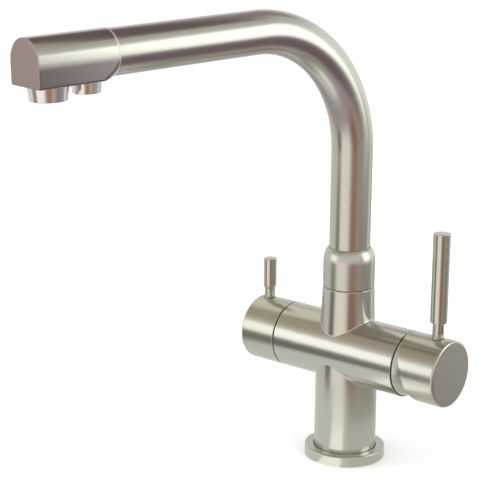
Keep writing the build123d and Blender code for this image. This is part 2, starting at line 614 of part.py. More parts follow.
def inlet_cuts():
    """Hollow of the column, the stud hole and the three inlets with their risers."""
    cuts = rod(HOLLOW_RADIUS, COLUMN_FOOT_Z - OVERRUN, HOLLOW_CEILING_Z)
    cuts += rod(STUD_WALL_RADIUS, HOLLOW_CEILING_Z - OVERRUN, HOLLOW_CEILING_Z + STUD_DEPTH)
    port_rise = PORT_CIRCLE_RADIUS * math.sin(math.radians(PORT_ANGLES[0]))
    riser_tops = {
        "hot": BARREL_Z + port_rise,
        "cold": BARREL_Z + port_rise,
        "filtered": BARREL_Z,
    }
    for name, angle in INLET_ANGLES.items():
        place = Pos(*on_circle(INLET_CIRCLE_RADIUS, angle), 0)
        thread_end = HOLLOW_CEILING_Z + INLET_DEPTH
        cuts += place * rod(INLET_WALL_RADIUS, HOLLOW_CEILING_Z - OVERRUN, thread_end)
        cuts += place * rod(CHANNEL_RADIUS, HOLLOW_CEILING_Z, riser_tops[name])
    return cuts


def cartridge_cuts():
    """Stepped bore of the cartridge with its ports, peg holes and nut thread."""
    cuts = rod(HOUSING_RADIUS + SLIP_FIT, SEAT_X, BARREL_TO_MIXER)
    cuts += rod(NUT_RADIUS + RUNNING_FIT, NUT_START_X, BARREL_TO_MIXER)
    cuts += rod(SKIRT_RADIUS + RUNNING_FIT, SKIRT_FOOT_X, BARREL_TO_MIXER + OVERRUN)
    for angle in PORT_ANGLES:
        place = Pos(*on_circle(PORT_CIRCLE_RADIUS, angle), 0)
        cuts += place * rod(PORT_RADIUS, MIXED_RISER_X, SEAT_X + OVERRUN)
    for side in (1, -1):
        peg_hole = rod(PEG_RADIUS + SLIP_FIT, BASE_FACE_X - PEG_LENGTH - SLIP_FIT, SEAT_X + OVERRUN)
        cuts += Pos(side * PEG_CIRCLE_RADIUS, 0, 0) * peg_hole
    return MIXER_AXIS * cuts


def valve_cuts():
    """Bore of the filter valve with its water chamber and the way in."""
    cuts = rod(VALVE_BORE_RADIUS, VALVE_SEAT_X, BARREL_TO_FILTER + OVERRUN)
    cuts += rod(VALVE_CHAMBER_RADIUS, VALVE_CHAMBER_START, VALVE_CHAMBER_END)
    cuts += rod(VALVE_HEX_ROOM, VALVE_THREAD_END, BARREL_TO_FILTER + OVERRUN)
    cuts += rod(VALVE_FEED_RADIUS, INLET_CIRCLE_RADIUS, VALVE_SEAT_X + OVERRUN)
    return FILTER_AXIS * cuts


def riser_cuts():
    """Ways from both valves up to the neck, and the bore that holds the swivel."""
    valve_side = (VALVE_CHAMBER_START + VALVE_CHAMBER_END) / 2
    cross = Pos(-valve_side, 0, FILTERED_CROSS_Z) * TURN_TO_X * rod(FILTERED_RISER_RADIUS, 0, valve_side)
    riser = rod(FILTERED_RISER_RADIUS, FILTERED_CROSS_Z, SOCKET_FLOOR_Z)
    mixed_foot = BARREL_Z - PORT_CIRCLE_RADIUS
    mixed = Pos(MIXED_RISER_X, 0, 0) * rod(MIXED_RISER_RADIUS, mixed_foot, NECK_FLOOR_Z)
    bore = turned(
        (SOCKET_POST_RADIUS, NECK_FLOOR_Z),
        (NECK_BORE_RADIUS, NECK_FLOOR_Z),
        (NECK_BORE_RADIUS, NECK_TOP_Z + OVERRUN),
        (0, NECK_TOP_Z + OVERRUN),
        (0, SOCKET_POST_TOP_Z),
        (SOCKET_POST_RADIUS, SOCKET_POST_TOP_Z),
    )
    socket = rod(SPIGOT_RADIUS + RUNNING_FIT, SOCKET_FLOOR_Z, SOCKET_POST_TOP_Z + OVERRUN)
    groove = rod(SOCKET_GROOVE_RADIUS, SOCKET_GROOVE_Z, SOCKET_GROOVE_Z + SOCKET_GROOVE_WIDTH)
    screw_hole = rod(STOP_SCREW_RADIUS + RUNNING_FIT, 0, NECK_ROOT_RADIUS + OVERRUN)
    screw_hole = Pos(0, 0, STOP_GROOVE_Z) * Rot(-90, 0, 0) * screw_hole
    return cross + riser + mixed + bore + socket + groove + screw_hole


def tap_body():
    return body_outside() - inlet_cuts() - cartridge_cuts() - valve_cuts() - riser_cuts()


def base_ring():
    """Ring with a ledge that carries the column and a groove for the deck seal."""
    ring = rod(BASE_RING_RADIUS, 0, BASE_RING_HEIGHT)
    ring = fillet(ring.edges().sort_by(Axis.Z)[-1], BASE_RING_ROUNDING)
    ring -= rod(COLUMN_RADIUS + BASE_RING_GAP, COLUMN_FOOT_Z, BASE_RING_HEIGHT + OVERRUN)
    ring -= rod(LEDGE_BORE_RADIUS, -OVERRUN, BASE_RING_HEIGHT)
    return ring - sleeve(SEAL_GROOVE_OUTER, SEAL_GROOVE_INNER, -OVERRUN, SEAL_GROOVE_DEPTH)


def base_seal():
    inner = SEAL_GROOVE_INNER + SLIP_FIT
    return sleeve(SEAL_GROOVE_OUTER - SLIP_FIT, inner, 0, SEAL_GROOVE_DEPTH)


def cartridge_base():
    """Plate with three ports, their seal grooves and the two locating pegs."""
    base = rod(BASE_RIM_RADIUS, BASE_FACE_X, FIXED_DISC_X)
    for angle in PORT_ANGLES:
        place = Pos(*on_circle(PORT_CIRCLE_RADIUS, angle), 0)
        base -= place * rod(PORT_RADIUS, BASE_FACE_X - OVERRUN, FIXED_DISC_X + OVERRUN)
        groove_radius = PORT_RADIUS + PORT_SEAL_WIDTH + SLIP_FIT
        base -= place * rod(groove_radius, BASE_FACE_X - OVERRUN, SEAT_X + PORT_SEAL_HEIGHT)
    for side in (1, -1):
        peg = rod(PEG_RADIUS, BASE_FACE_X - PEG_LENGTH, FIXED_DISC_X)
        base += Pos(side * PEG_CIRCLE_RADIUS, 0, 0) * peg
    return MIXER_AXIS * base


def port_seals():
    """Three separate rings between the cartridge base and its seat."""
    rings = []
    for angle in PORT_ANGLES:
        ring = sleeve(PORT_RADIUS + PORT_SEAL_WIDTH, PORT_RADIUS, SEAT_X, SEAT_X + PORT_SEAL_HEIGHT)
        rings.append(MIXER_AXIS * Pos(*on_circle(PORT_CIRCLE_RADIUS, angle), 0) * ring)
    return Compound(rings)


def fixed_disc():
    """Ceramic plate with two inlet kidneys above and the outlet hole below."""
    low = FIXED_DISC_X - OVERRUN
    high = FIXED_DISC_X + DISC_THICKNESS + OVERRUN
    disc = rod(FIXED_DISC_RADIUS, FIXED_DISC_X, FIXED_DISC_X + DISC_THICKNESS)
    for start in (KIDNEY_START_ANGLE, 180 - KIDNEY_START_ANGLE - KIDNEY_SWEEP_ANGLE):
        disc -= curved_slot(KIDNEY_CIRCLE_RADIUS, KIDNEY_HALF_WIDTH, start, KIDNEY_SWEEP_ANGLE, low, high)
    disc -= Pos(0, -OUTLET_PORT_DROP, 0) * rod(OUTLET_PORT_RADIUS, low, high)
    return MIXER_AXIS * disc


def moving_disc():
    """Ceramic plate whose pocket joins the inlets to the outlet when it slides up."""
    low = MOVING_DISC_X
    high = MOVING_DISC_X + DISC_THICKNESS
    disc = rod(MOVING_DISC_RADIUS, low, high)
    outline = SlotCenterToCenter(MIXING_POCKET_LENGTH, 2 * MIXING_POCKET_RADIUS, rotation=90)
    pocket = extrude(outline, MIXING_POCKET_DEPTH + OVERRUN)
    disc -= Pos(0, MIXING_POCKET_SHIFT, low - OVERRUN) * pocket
    for side in (1, -1):
        hole = rod(CARRIER_PEG_RADIUS + RUNNING_FIT, high - CARRIER_PEG_LENGTH - SLIP_FIT, high + OVERRUN)
        disc -= Pos(side * CARRIER_PEG_Y, 0, 0) * hole
    return MIXER_AXIS * Pos(0, -DISC_SHIFT, 0) * disc


def disc_carrier():
    """Slider on the moving disc; its block runs in the guide and takes the ball."""
    plate_top = CARRIER_FOOT_X + CARRIER_PLATE
    carrier = rod(CARRIER_RADIUS, CARRIER_FOOT_X, plate_top)
    carrier += block(CARRIER_BLOCK_WIDTH, CARRIER_BLOCK_LENGTH, CARRIER_FOOT_X, CARRIER_TOP_X)
    for side in (1, -1):
        peg = rod(CARRIER_PEG_RADIUS, CARRIER_FOOT_X - CARRIER_PEG_LENGTH, plate_top)
        carrier += Pos(side * CARRIER_PEG_Y, 0, 0) * peg
    ball_room = 2 * (BALL_RADIUS + RUNNING_FIT)
    carrier -= block(BALL_POCKET_WIDTH, ball_room, BALL_POCKET_FLOOR_X, CARRIER_TOP_X + OVERRUN)
    return MIXER_AXIS * Pos(0, -DISC_SHIFT, 0) * carrier


def cartridge_housing():
    housing = turned(
        (HOUSING_BORE_RADIUS, FIXED_DISC_X),
        (HOUSING_RADIUS, FIXED_DISC_X),
        (HOUSING_RADIUS, HOUSING_STEP_X),
        (HOUSING_NECK_RADIUS, HOUSING_STEP_X),
        (HOUSING_NECK_RADIUS, HOUSING_TOP_X),
        (HOUSING_THROAT_RADIUS, HOUSING_TOP_X),
        (HOUSING_THROAT_RADIUS, HOUSING_SHOULDER_X),
        (HOUSING_BORE_RADIUS, HOUSING_SHOULDER_X),
    )
    return MIXER_AXIS * housing


def spindle_guide():
    """Turning part of the cartridge: a track for the carrier, a slot for the spindle."""
    shoulder = HOUSING_SHOULDER_X - RUNNING_FIT
    guide = rod(GUIDE_RADIUS, GUIDE_FOOT_X, shoulder)
    guide += rod(GUIDE_NECK_RADIUS, GUIDE_FOOT_X, GUIDE_TOP_X)
    track_width = CARRIER_BLOCK_WIDTH + 2 * RUNNING_FIT
    guide -= block(track_width, GUIDE_TRACK_LENGTH, GUIDE_FOOT_X - OVERRUN, GUIDE_TRACK_X)
    slot_width = SPINDLE_WIDTH + 2 * SLIP_FIT
    guide -= block(slot_width, GUIDE_SLOT_HEIGHT, GUIDE_FOOT_X, GUIDE_TOP_X + OVERRUN)
    pin_hole = rod(PIN_RADIUS, -GUIDE_RADIUS, GUIDE_RADIUS)
    guide -= Pos(0, 0, PIVOT_X) * TURN_TO_X * pin_hole
    return MIXER_AXIS * guide


def pivot_pin():
    pin = rod(PIN_RADIUS, -PIN_LENGTH / 2, PIN_LENGTH / 2)
    return MIXER_AXIS * Pos(0, 0, PIVOT_X) * TURN_TO_X * pin


def lock_nut():
    """Threaded ring that presses the cartridge down; four notches take the key."""
    nut = turned(
        (HOUSING_RADIUS + SLIP_FIT, NUT_START_X),
        (NUT_RADIUS, NUT_START_X),
        (NUT_RADIUS, NUT_TOP_X),
        (HOUSING_NECK_RADIUS + SLIP_FIT, NUT_TOP_X),
        (HOUSING_NECK_RADIUS + SLIP_FIT, HOUSING_STEP_X),
        (HOUSING_RADIUS + SLIP_FIT, HOUSING_STEP_X),
    )
    for number in range(NUT_NOTCHES):
        notch_floor = NUT_TOP_X - NUT_NOTCH_DEPTH
        notch = block(2 * OVERRUN + NUT_RADIUS, NUT_NOTCH_WIDTH, notch_floor, NUT_TOP_X + OVERRUN)
        nut -= Rot(0, 0, number * 360 / NUT_NOTCHES) * Pos(NUT_RADIUS, 0, 0) * notch
    return MIXER_AXIS * nut


def dome_ring():
    """Ball-shaped cover that the hub tilts over, with a skirt in the barrel."""
    centre = Pos(0, 0, PIVOT_X)
    dome = centre * Sphere(DOME_RADIUS) & rod(DOME_RADIUS, DOME_RIM_X, PIVOT_X + DOME_RADIUS)
    dome += rod(SKIRT_RADIUS, SKIRT_FOOT_X, DOME_RIM_X)
    inner_radius = DOME_RADIUS - DOME_WALL
    inner_start = PIVOT_X + math.sqrt(inner_radius**2 - SKIRT_BORE_RADIUS**2)
    dome -= rod(SKIRT_BORE_RADIUS, SKIRT_FOOT_X - OVERRUN, inner_start)
    dome -= centre * Sphere(inner_radius) & rod(SKIRT_BORE_RADIUS, PIVOT_X, PIVOT_X + DOME_RADIUS)
    dome -= rod(DOME_MOUTH_RADIUS, PIVOT_X, PIVOT_X + DOME_RADIUS + OVERRUN)
    return MIXER_AXIS * dome


def mixer_spindle():
    """Square shank on the pivot pin; the ball at its inner end moves the carrier."""
    spindle = block(SPINDLE_WIDTH, SPINDLE_WIDTH, -SPINDLE_SHANK_START, SPINDLE_REACH)
    spindle += rod(SPINDLE_NECK_RADIUS, -BALL_REACH, 0)
    spindle += Pos(0, 0, -BALL_REACH) * Sphere(BALL_RADIUS)
    cross = rod(PIN_RADIUS + RUNNING_FIT, -SPINDLE_WIDTH, SPINDLE_WIDTH)
    spindle -= TURN_TO_X * cross
    return SPINDLE_AXIS * spindle


def lever_cuts(along, neck_radius):
    """Threaded hole for a lever, with a wider round recess at its mouth."""
    top = BARREL_Z + BARREL_RADIUS + OVERRUN
    hole = rod(LEVER_THREAD_RADIUS, LEVER_THREAD_FOOT_Z - SLIP_FIT, top)
    hole += rod(neck_radius + LEVER_FOOT_ROOM, LEVER_NECK_FOOT_Z, top)
    return Pos(along, 0, 0) * hole


def mixer_hub():
    """Round block, cut off at a slant behind, with a ball-shaped hollow over the dome."""
    hub = MIXER_AXIS * rod(HUB_RADIUS, PIVOT_X, HUB_FACE_X)
    hub = fillet(hub.edges().filter_by(GeomType.CIRCLE).sort_by(Axis.X)[-1], HANDLE_ROUNDING)
    slant = math.radians(HUB_CUT_ANGLE)
    kept_side = (math.cos(slant), 0, math.sin(slant))
    hub = split(hub, Plane(origin=(HUB_CUT_X, 0, BARREL_Z), z_dir=kept_side), keep=Keep.TOP)
    hub -= MIXER_AXIS * Pos(0, 0, PIVOT_X) * Sphere(DOME_RADIUS + DOME_GAP)
    socket_width = SPINDLE_WIDTH + 2 * RUNNING_FIT
    hub -= SPINDLE_AXIS * block(socket_width, socket_width, BALL_REACH, SPINDLE_REACH + SLIP_FIT)
    grub_hole = rod(GRUB_RADIUS + RUNNING_FIT, -HUB_FACE_X, 0)
    hub -= SPINDLE_AXIS * Pos(0, 0, GRUB_REACH) * Rot(-90, 0, 0) * grub_hole
    return hub - lever_cuts(MIXER_LEVER_X, MIXER_LEVER_NECK_RADIUS)


def mixer_lever():
    """Turned lever: threaded foot, thin neck and a longer, thicker grip."""
    lever = rod(MIXER_LEVER_GRIP_RADIUS, MIXER_LEVER_GRIP_Z, MIXER_LEVER_TOP_Z)
    lever = chamfer(lever.edges().filter_by(GeomType.CIRCLE), EDGE_BREAK)
    lever += rod(MIXER_LEVER_NECK_RADIUS, LEVER_NECK_FOOT_Z, MIXER_LEVER_GRIP_Z)
    lever += rod(LEVER_THREAD_RADIUS - RUNNING_FIT, LEVER_THREAD_FOOT_Z, LEVER_NECK_FOOT_Z)
    return Pos(MIXER_LEVER_X, 0, 0) * lever


def grub_screw(radius, length, socket_width):
    """Grub screw about Z with its flat tip at the origin and its socket below."""
    screw = rod(radius, -length, 0)
    screw = chamfer(screw.edges().filter_by(GeomType.CIRCLE), EDGE_BREAK)
    return screw - hexagon(socket_width, -length - OVERRUN, GRUB_SOCKET_DEPTH - length)


def mixer_grub_screw():
    screw = grub_screw(GRUB_RADIUS, GRUB_LENGTH, GRUB_SOCKET_WIDTH)
    below = Pos(0, -SPINDLE_WIDTH / 2, GRUB_REACH)
    return SPINDLE_AXIS * below * Rot(-90, 0, 0) * screw


def filter_valve_body():
    """Quarter-turn headwork: nose with two windows, thread, hexagon and neck."""
    body = rod(VALVE_NOSE_RADIUS, VALVE_FOOT_X, VALVE_THREAD_START)
    body += rod(VALVE_BORE_RADIUS - RUNNING_FIT, VALVE_THREAD_START, VALVE_THREAD_END)
    body += hexagon(VALVE_HEX_WIDTH, VALVE_THREAD_END, VALVE_HEX_END)
    body += rod(VALVE_NECK_RADIUS, VALVE_HEX_END, VALVE_NECK_END)
    body -= rod(VALVE_INNER_RADIUS, VALVE_FOOT_X - OVERRUN, VALVE_SHOULDER_X)
    body -= rod(VALVE_STEM_RADIUS + RUNNING_FIT, VALVE_SHOULDER_X, VALVE_NECK_END + OVERRUN)
    window_end = VALVE_WINDOW_START + VALVE_WINDOW_LENGTH
    window = block(VALVE_WINDOW_WIDTH, 2 * VALVE_BORE_RADIUS, VALVE_WINDOW_START, window_end)
    return FILTER_AXIS * (body - window)


def filter_seat_seal():
    return FILTER_AXIS * sleeve(VALVE_DISC_RADIUS, SEAT_SEAL_BORE, VALVE_SEAT_X, SEAT_SEAL_END)


def filter_fixed_disc():
    """Ceramic disc with two short curved openings, left and right."""
    high = SEAT_SEAL_END + VALVE_DISC_THICKNESS
    disc = rod(VALVE_DISC_RADIUS, SEAT_SEAL_END, high)
    for middle in (0, 180):
        start = middle - VALVE_SLOT_SWEEP_ANGLE / 2
        disc -= curved_slot(
            VALVE_SLOT_CIRCLE, VALVE_SLOT_HALF_WIDTH, start, VALVE_SLOT_SWEEP_ANGLE,
            SEAT_SEAL_END - OVERRUN, high + OVERRUN,
        )
    return FILTER_AXIS * disc


def filter_moving_disc():
    """Bow-tie disc; its wings cover the openings until the lever is turned."""
    low = VALVE_MOVING_START
    high = VALVE_MOVING_START + VALVE_DISC_THICKNESS
    disc = rod(VALVE_DISC_RADIUS - RUNNING_FIT, low, high)
    reach = VALVE_DISC_RADIUS * 2
    for middle in (90, 270):
        near = on_circle(reach, middle - VALVE_WEDGE_SWEEP_ANGLE / 2)
        far = on_circle(reach, middle + VALVE_WEDGE_SWEEP_ANGLE / 2)
        wedge = extrude(make_face(Polyline((0, 0), near, far, close=True)), high - low + 2 * OVERRUN)
        disc -= Pos(0, 0, low - OVERRUN) * wedge - rod(VALVE_DISC_HUB_RADIUS, low - OVERRUN, high + OVERRUN)
    tongue_room = block(
        2 * reach, VALVE_TONGUE_WIDTH + 2 * RUNNING_FIT,
        high - VALVE_TONGUE_DEPTH - RUNNING_FIT, high + OVERRUN,
    )
    return FILTER_AXIS * (disc - tongue_room)


def spline(root_radius, tip_radius, low, high):
    """Toothed rod about Z."""
    corners = []
    for number in range(2 * SPLINE_TEETH):
        radius = tip_radius if number % 2 else root_radius
        corners.append(on_circle(radius, number * 180 / SPLINE_TEETH))
    outline = make_face(Polyline(*corners, close=True))
    return Pos(0, 0, low) * extrude(outline, high - low)


def filter_spindle():
    """Spindle with a tongue for the moving disc, two grooves and a splined end."""
    foot = VALVE_MOVING_START + VALVE_DISC_THICKNESS
    flange_radius = VALVE_DISC_RADIUS - RUNNING_FIT
    spindle = rod(flange_radius, foot, VALVE_SHOULDER_X - RUNNING_FIT)
    tongue = block(2 * flange_radius, VALVE_TONGUE_WIDTH, foot - VALVE_TONGUE_DEPTH, foot)
    spindle += tongue & rod(flange_radius, foot - VALVE_TONGUE_DEPTH, foot)
    spindle += rod(VALVE_STEM_RADIUS, foot, SPLINE_START)
    spindle += spline(SPLINE_ROOT_RADIUS, SPLINE_RADIUS, SPLINE_START, SPLINE_END)
    ring_end = VALVE_RING_GROOVE_START + VALVE_RING_GROOVE_WIDTH
    outside = 2 * VALVE_STEM_RADIUS
    spindle -= sleeve(outside, VALVE_RING_GROOVE_RADIUS, VALVE_RING_GROOVE_START, ring_end)
    clip_end = CLIP_GROOVE_START + CLIP_WIDTH + SLIP_FIT
    spindle -= sleeve(outside, CLIP_GROOVE_RADIUS, CLIP_GROOVE_START, clip_end)
    return FILTER_AXIS * spindle


def filter_spindle_ring():
    middle = VALVE_RING_GROOVE_START + VALVE_RING_GROOVE_WIDTH / 2
    return FILTER_AXIS * o_ring(VALVE_RING_GROOVE_RADIUS, VALVE_STEM_RADIUS + RUNNING_FIT, middle)


def filter_clip():
    """Open spring ring that keeps the spindle in its body."""
    low = CLIP_GROOVE_START
    clip = sleeve(CLIP_RADIUS, CLIP_GROOVE_RADIUS, low, low + CLIP_WIDTH)
    mouth = block(CLIP_OPENING, CLIP_RADIUS + OVERRUN, low - OVERRUN, low + CLIP_WIDTH + OVERRUN)
    return FILTER_AXIS * (clip - Pos(0, -(CLIP_RADIUS + OVERRUN) / 2, 0) * mouth)


def filter_hub():
    """Round block flush with the barrel, hollow round the headwork, splined inside."""
    hub = FILTER_AXIS * rod(FILTER_HUB_RADIUS, FILTER_HUB_START, FILTER_HUB_END)
    rims = hub.edges().filter_by(GeomType.CIRCLE).sort_by(Axis.X)
    hub = fillet(rims[0], HANDLE_ROUNDING)
    hub = chamfer(hub.edges().filter_by(GeomType.CIRCLE).sort_by(Axis.X)[-1], EDGE_BREAK)
    hub -= FILTER_AXIS * rod(FILTER_HUB_RECESS_RADIUS, FILTER_HUB_START - OVERRUN, FILTER_HUB_RECESS_END)
    socket = spline(
        SPLINE_ROOT_RADIUS + RUNNING_FIT, SPLINE_RADIUS + RUNNING_FIT,
        FILTER_HUB_RECESS_END - OVERRUN, SPLINE_END + SLIP_FIT,
    )
    hub -= FILTER_AXIS * socket
    grub_hole = rod(FILTER_GRUB_RADIUS + RUNNING_FIT, -FILTER_HUB_RADIUS - OVERRUN, 0)
    hub -= Pos(-FILTER_GRUB_X, 0, BARREL_Z) * grub_hole
    return hub - lever_cuts(-FILTER_LEVER_X, FILTER_LEVER_NECK_RADIUS)


def filter_lever():
    """Short turned lever with a sloping shoulder under its grip."""
    lever = turned(
        (0, LEVER_THREAD_FOOT_Z),
        (LEVER_THREAD_RADIUS - RUNNING_FIT, LEVER_THREAD_FOOT_Z),
        (LEVER_THREAD_RADIUS - RUNNING_FIT, LEVER_NECK_FOOT_Z),
        (FILTER_LEVER_NECK_RADIUS, LEVER_NECK_FOOT_Z),
        (FILTER_LEVER_NECK_RADIUS, FILTER_LEVER_SHOULDER_Z),
        (FILTER_LEVER_GRIP_RADIUS, FILTER_LEVER_GRIP_Z),
        (FILTER_LEVER_GRIP_RADIUS, FILTER_LEVER_TOP_Z),
        (0, FILTER_LEVER_TOP_Z),
    )
    lever = chamfer(lever.edges().filter_by(GeomType.CIRCLE).sort_by(Axis.Z)[-1], EDGE_BREAK)
    return Pos(-FILTER_LEVER_X, 0, 0) * lever


def filter_grub_screw():
    screw = grub_screw(FILTER_GRUB_RADIUS, FILTER_GRUB_LENGTH, FILTER_GRUB_SOCKET)
    return Pos(-FILTER_GRUB_X, 0, BARREL_Z - SPLINE_RADIUS) * screw


def swivel_collar():
    """Sleeve with a domed top round the foot of the spout tube."""
    dome = ThreePointArc(
        (COLLAR_RADIUS, 0, COLLAR_DOME_Z),
        (COLLAR_DOME_MID_RADIUS, 0, COLLAR_DOME_MID_Z),
        (COLLAR_TOP_RADIUS, 0, COLLAR_TOP_Z),
    )
    tube_room = TUBE_RADIUS + RUNNING_FIT
    rest = Polyline(
        (COLLAR_TOP_RADIUS, 0, COLLAR_TOP_Z),
        (tube_room, 0, COLLAR_TOP_Z),
        (tube_room, 0, FLANGE_TOP_Z),
        (COLLAR_BORE_RADIUS, 0, FLANGE_TOP_Z),
        (COLLAR_BORE_RADIUS, 0, COLLAR_FOOT_Z),
        (COLLAR_RADIUS, 0, COLLAR_FOOT_Z),
        (COLLAR_RADIUS, 0, COLLAR_DOME_Z),
    )
    return revolve(make_face(dome + rest), Axis.Z)


def glide_ring():
    inner = NECK_BORE_RADIUS + SLIP_FIT
    return sleeve(GLIDE_RING_RADIUS, inner, NECK_TOP_Z, FLANGE_FOOT_Z)


def swivel_nipple():
    """Hollow pivot of the spout: ring grooves, stop groove, flange and tube spigot."""
    nipple = rod(NECK_BORE_RADIUS - RUNNING_FIT, NIPPLE_FOOT_Z, FLANGE_TOP_Z)
    nipple += rod(COLLAR_BORE_RADIUS - RUNNING_FIT, FLANGE_FOOT_Z, FLANGE_TOP_Z)
    nipple += rod(TUBE_BORE_RADIUS - RUNNING_FIT, FLANGE_TOP_Z, NIPPLE_TOP_Z)
    nipple -= rod(NIPPLE_BORE_RADIUS, NIPPLE_FOOT_Z - OVERRUN, NIPPLE_TOP_Z + OVERRUN)
    nipple -= rod(SPIDER_RADIUS + RUNNING_FIT, SPIDER_Z, NIPPLE_TOP_Z + OVERRUN)
    for height in NIPPLE_RING_Z:
        half = NIPPLE_RING_GROOVE_WIDTH / 2
        nipple -= sleeve(COLLAR_RADIUS, NIPPLE_RING_GROOVE_RADIUS, height - half, height + half)
    half = STOP_GROOVE_WIDTH / 2
    return nipple - sleeve(COLLAR_RADIUS, STOP_GROOVE_RADIUS, STOP_GROOVE_Z - half, STOP_GROOVE_Z + half)


def swivel_rings():
    """Two separate round-section seals on the nipple."""
    rings = [o_ring(NIPPLE_RING_GROOVE_RADIUS, NECK_BORE_RADIUS, height) for height in NIPPLE_RING_Z]
    return Compound(rings)


def spout_stop_screw():
    """Screw in the back of the neck; its dog point runs in the groove of the nipple."""
    screw = grub_screw(STOP_SCREW_RADIUS, STOP_SCREW_LENGTH, GRUB_SOCKET_WIDTH)
    screw += rod(STOP_DOG_RADIUS, -EDGE_BREAK, NECK_BORE_RADIUS - STOP_DOG_TIP)
    return Pos(0, NECK_BORE_RADIUS, STOP_GROOVE_Z) * Rot(90, 0, 0) * screw


def filtered_spigot():
    """Inner pivot for filtered water, held by a round plate with water holes."""
    spider_top = SPIDER_Z + SPIDER_THICKNESS
    spigot = rod(SPIGOT_RADIUS, SPIGOT_FOOT_Z, spider_top)
    spigot += rod(SPIDER_RADIUS, SPIDER_Z, spider_top)
    spigot += rod(HOSE_BORE_RADIUS - RUNNING_FIT, SPIDER_Z, HOSE_START_Z + BARB_LENGTH)
    for number in range(SPIDER_HOLES):
        place = Pos(*on_circle(SPIDER_HOLE_CIRCLE, number * 360 / SPIDER_HOLES), 0)
        spigot -= place * rod(SPIDER_HOLE_RADIUS, SPIDER_Z - OVERRUN, spider_top + OVERRUN)
    return spigot - rod(SPIGOT_BORE_RADIUS, SPIGOT_FOOT_Z - OVERRUN, HOSE_START_Z + BARB_LENGTH + OVERRUN)


def spigot_ring():
    middle = SOCKET_GROOVE_Z + SOCKET_GROOVE_WIDTH / 2
    return o_ring(SPIGOT_RADIUS, SOCKET_GROOVE_RADIUS, middle)


def spout_route(start_z, end_along):
    """Centre line of the spout, from a height on the column axis to a place on its slope."""
    centre = SPOUT_LEVEL * BEND_RADIUS + Vector(0, 0, BEND_START_Z)
    bend = []
    for angle in (0, BEND_TURN / 2, BEND_TURN):
        inwards = SPOUT_LEVEL * (-BEND_RADIUS * math.cos(angle))
        upwards = Vector(0, 0, BEND_RADIUS * math.sin(angle))
        bend.append(centre + inwards + upwards)
    tip = Vector(0, 0, SPOUT_START_Z) + SPOUT_ALONG * end_along
    rise = Line((0, 0, start_z), bend[0])
    return Wire([rise.edge(), ThreePointArc(*bend).edge(), Line(bend[-1], tip).edge()])


def swept_rod(radius, start_z, end_along):
    route = spout_route(start_z, end_along)
    return sweep(Pos(0, 0, start_z) * Circle(radius), path=route)


def spout_tube():
    outside = swept_rod(TUBE_RADIUS, FLANGE_TOP_Z, HEAD_START)
    return outside - swept_rod(TUBE_BORE_RADIUS, FLANGE_TOP_Z, HEAD_START)


def filtered_hose():
    end = NOZZLE_AT - ELBOW_RADIUS
    outside = swept_rod(HOSE_RADIUS, HOSE_START_Z, end)
    return outside - swept_rod(HOSE_BORE_RADIUS, HOSE_START_Z, end)


def arch(half_width, depth, start, end, rounding):
    """Block with a half-round top and a flat bottom, lying along its own x."""
    side = ThreePointArc((-half_width, 0), (0, half_width), (half_width, 0))
    rest = Polyline((half_width, 0), (half_width, -depth), (-half_width, -depth), (-half_width, 0))
    outline = make_face(side + rest)
    if rounding:
        outline = fillet(outline.vertices().group_by(Axis.Y)[0], rounding)
    return Pos(start, 0, 0) * (Plane.YZ.location * extrude(outline, end - start))


def head_flare():
    """Turned shape about the spout that takes the rear lower corners off the head."""
    flare = ThreePointArc(
        (HEAD_RING_RADIUS, 0, HEAD_THROAT),
        (HEAD_FLARE_MID_RADIUS, 0, HEAD_FLARE_MID),
        (HEAD_FLARE_END_RADIUS, 0, HEAD_FLARE_END),
    )
    wide = 2 * HEAD_HALF_WIDTH
    rest = Polyline(
        (HEAD_FLARE_END_RADIUS, 0, HEAD_FLARE_END),
        (wide, 0, HEAD_FLARE_END),
        (wide, 0, HEAD_END),
        (0, 0, HEAD_END),
        (0, 0, HEAD_START),
        (HEAD_RING_RADIUS, 0, HEAD_START),
        (HEAD_RING_RADIUS, 0, HEAD_THROAT),
    )
    return TURN_TO_X * revolve(make_face(flare + rest), Axis.Z)


def outlet_cuts(along, lip_radius, thread_radius):
    """Threaded hole in the flat bottom of the head, with an inner lip."""
    hole = rod(thread_radius + RUNNING_FIT, -HEAD_DEPTH - OVERRUN, -OUTLET_LIP_DROP)
    hole += rod(lip_radius, -OUTLET_LIP_DROP, -HEAD_CHAMBER_FLOOR + OVERRUN)
    return Pos(along, 0, 0) * hole


def spout_head():
    head = arch(HEAD_HALF_WIDTH, HEAD_DEPTH, HEAD_START, HEAD_END, HEAD_CORNER_ROUNDING)
    head = chamfer(head.faces().sort_by(Axis.X)[-1].edges(), HEAD_EDGE_CHAMFER)
    head = head & head_flare()
    head += TURN_TO_X * rod(TUBE_BORE_RADIUS - RUNNING_FIT, HEAD_START - HEAD_SPIGOT_LENGTH, HEAD_START)
    throat = rod(HEAD_SPIGOT_BORE_RADIUS, HEAD_START - HEAD_SPIGOT_LENGTH - OVERRUN, HEAD_CHAMBER_START)
    head -= TURN_TO_X * throat
    head -= arch(HEAD_CHAMBER_HALF_WIDTH, HEAD_CHAMBER_FLOOR, HEAD_CHAMBER_START, HEAD_CHAMBER_END, 0)
    head -= outlet_cuts(AERATOR_AT, AERATOR_LIP_RADIUS, AERATOR_THREAD_RADIUS)
    head -= outlet_cuts(NOZZLE_AT, NOZZLE_LIP_RADIUS, NOZZLE_THREAD_RADIUS)
    return SPOUT_AXIS * head


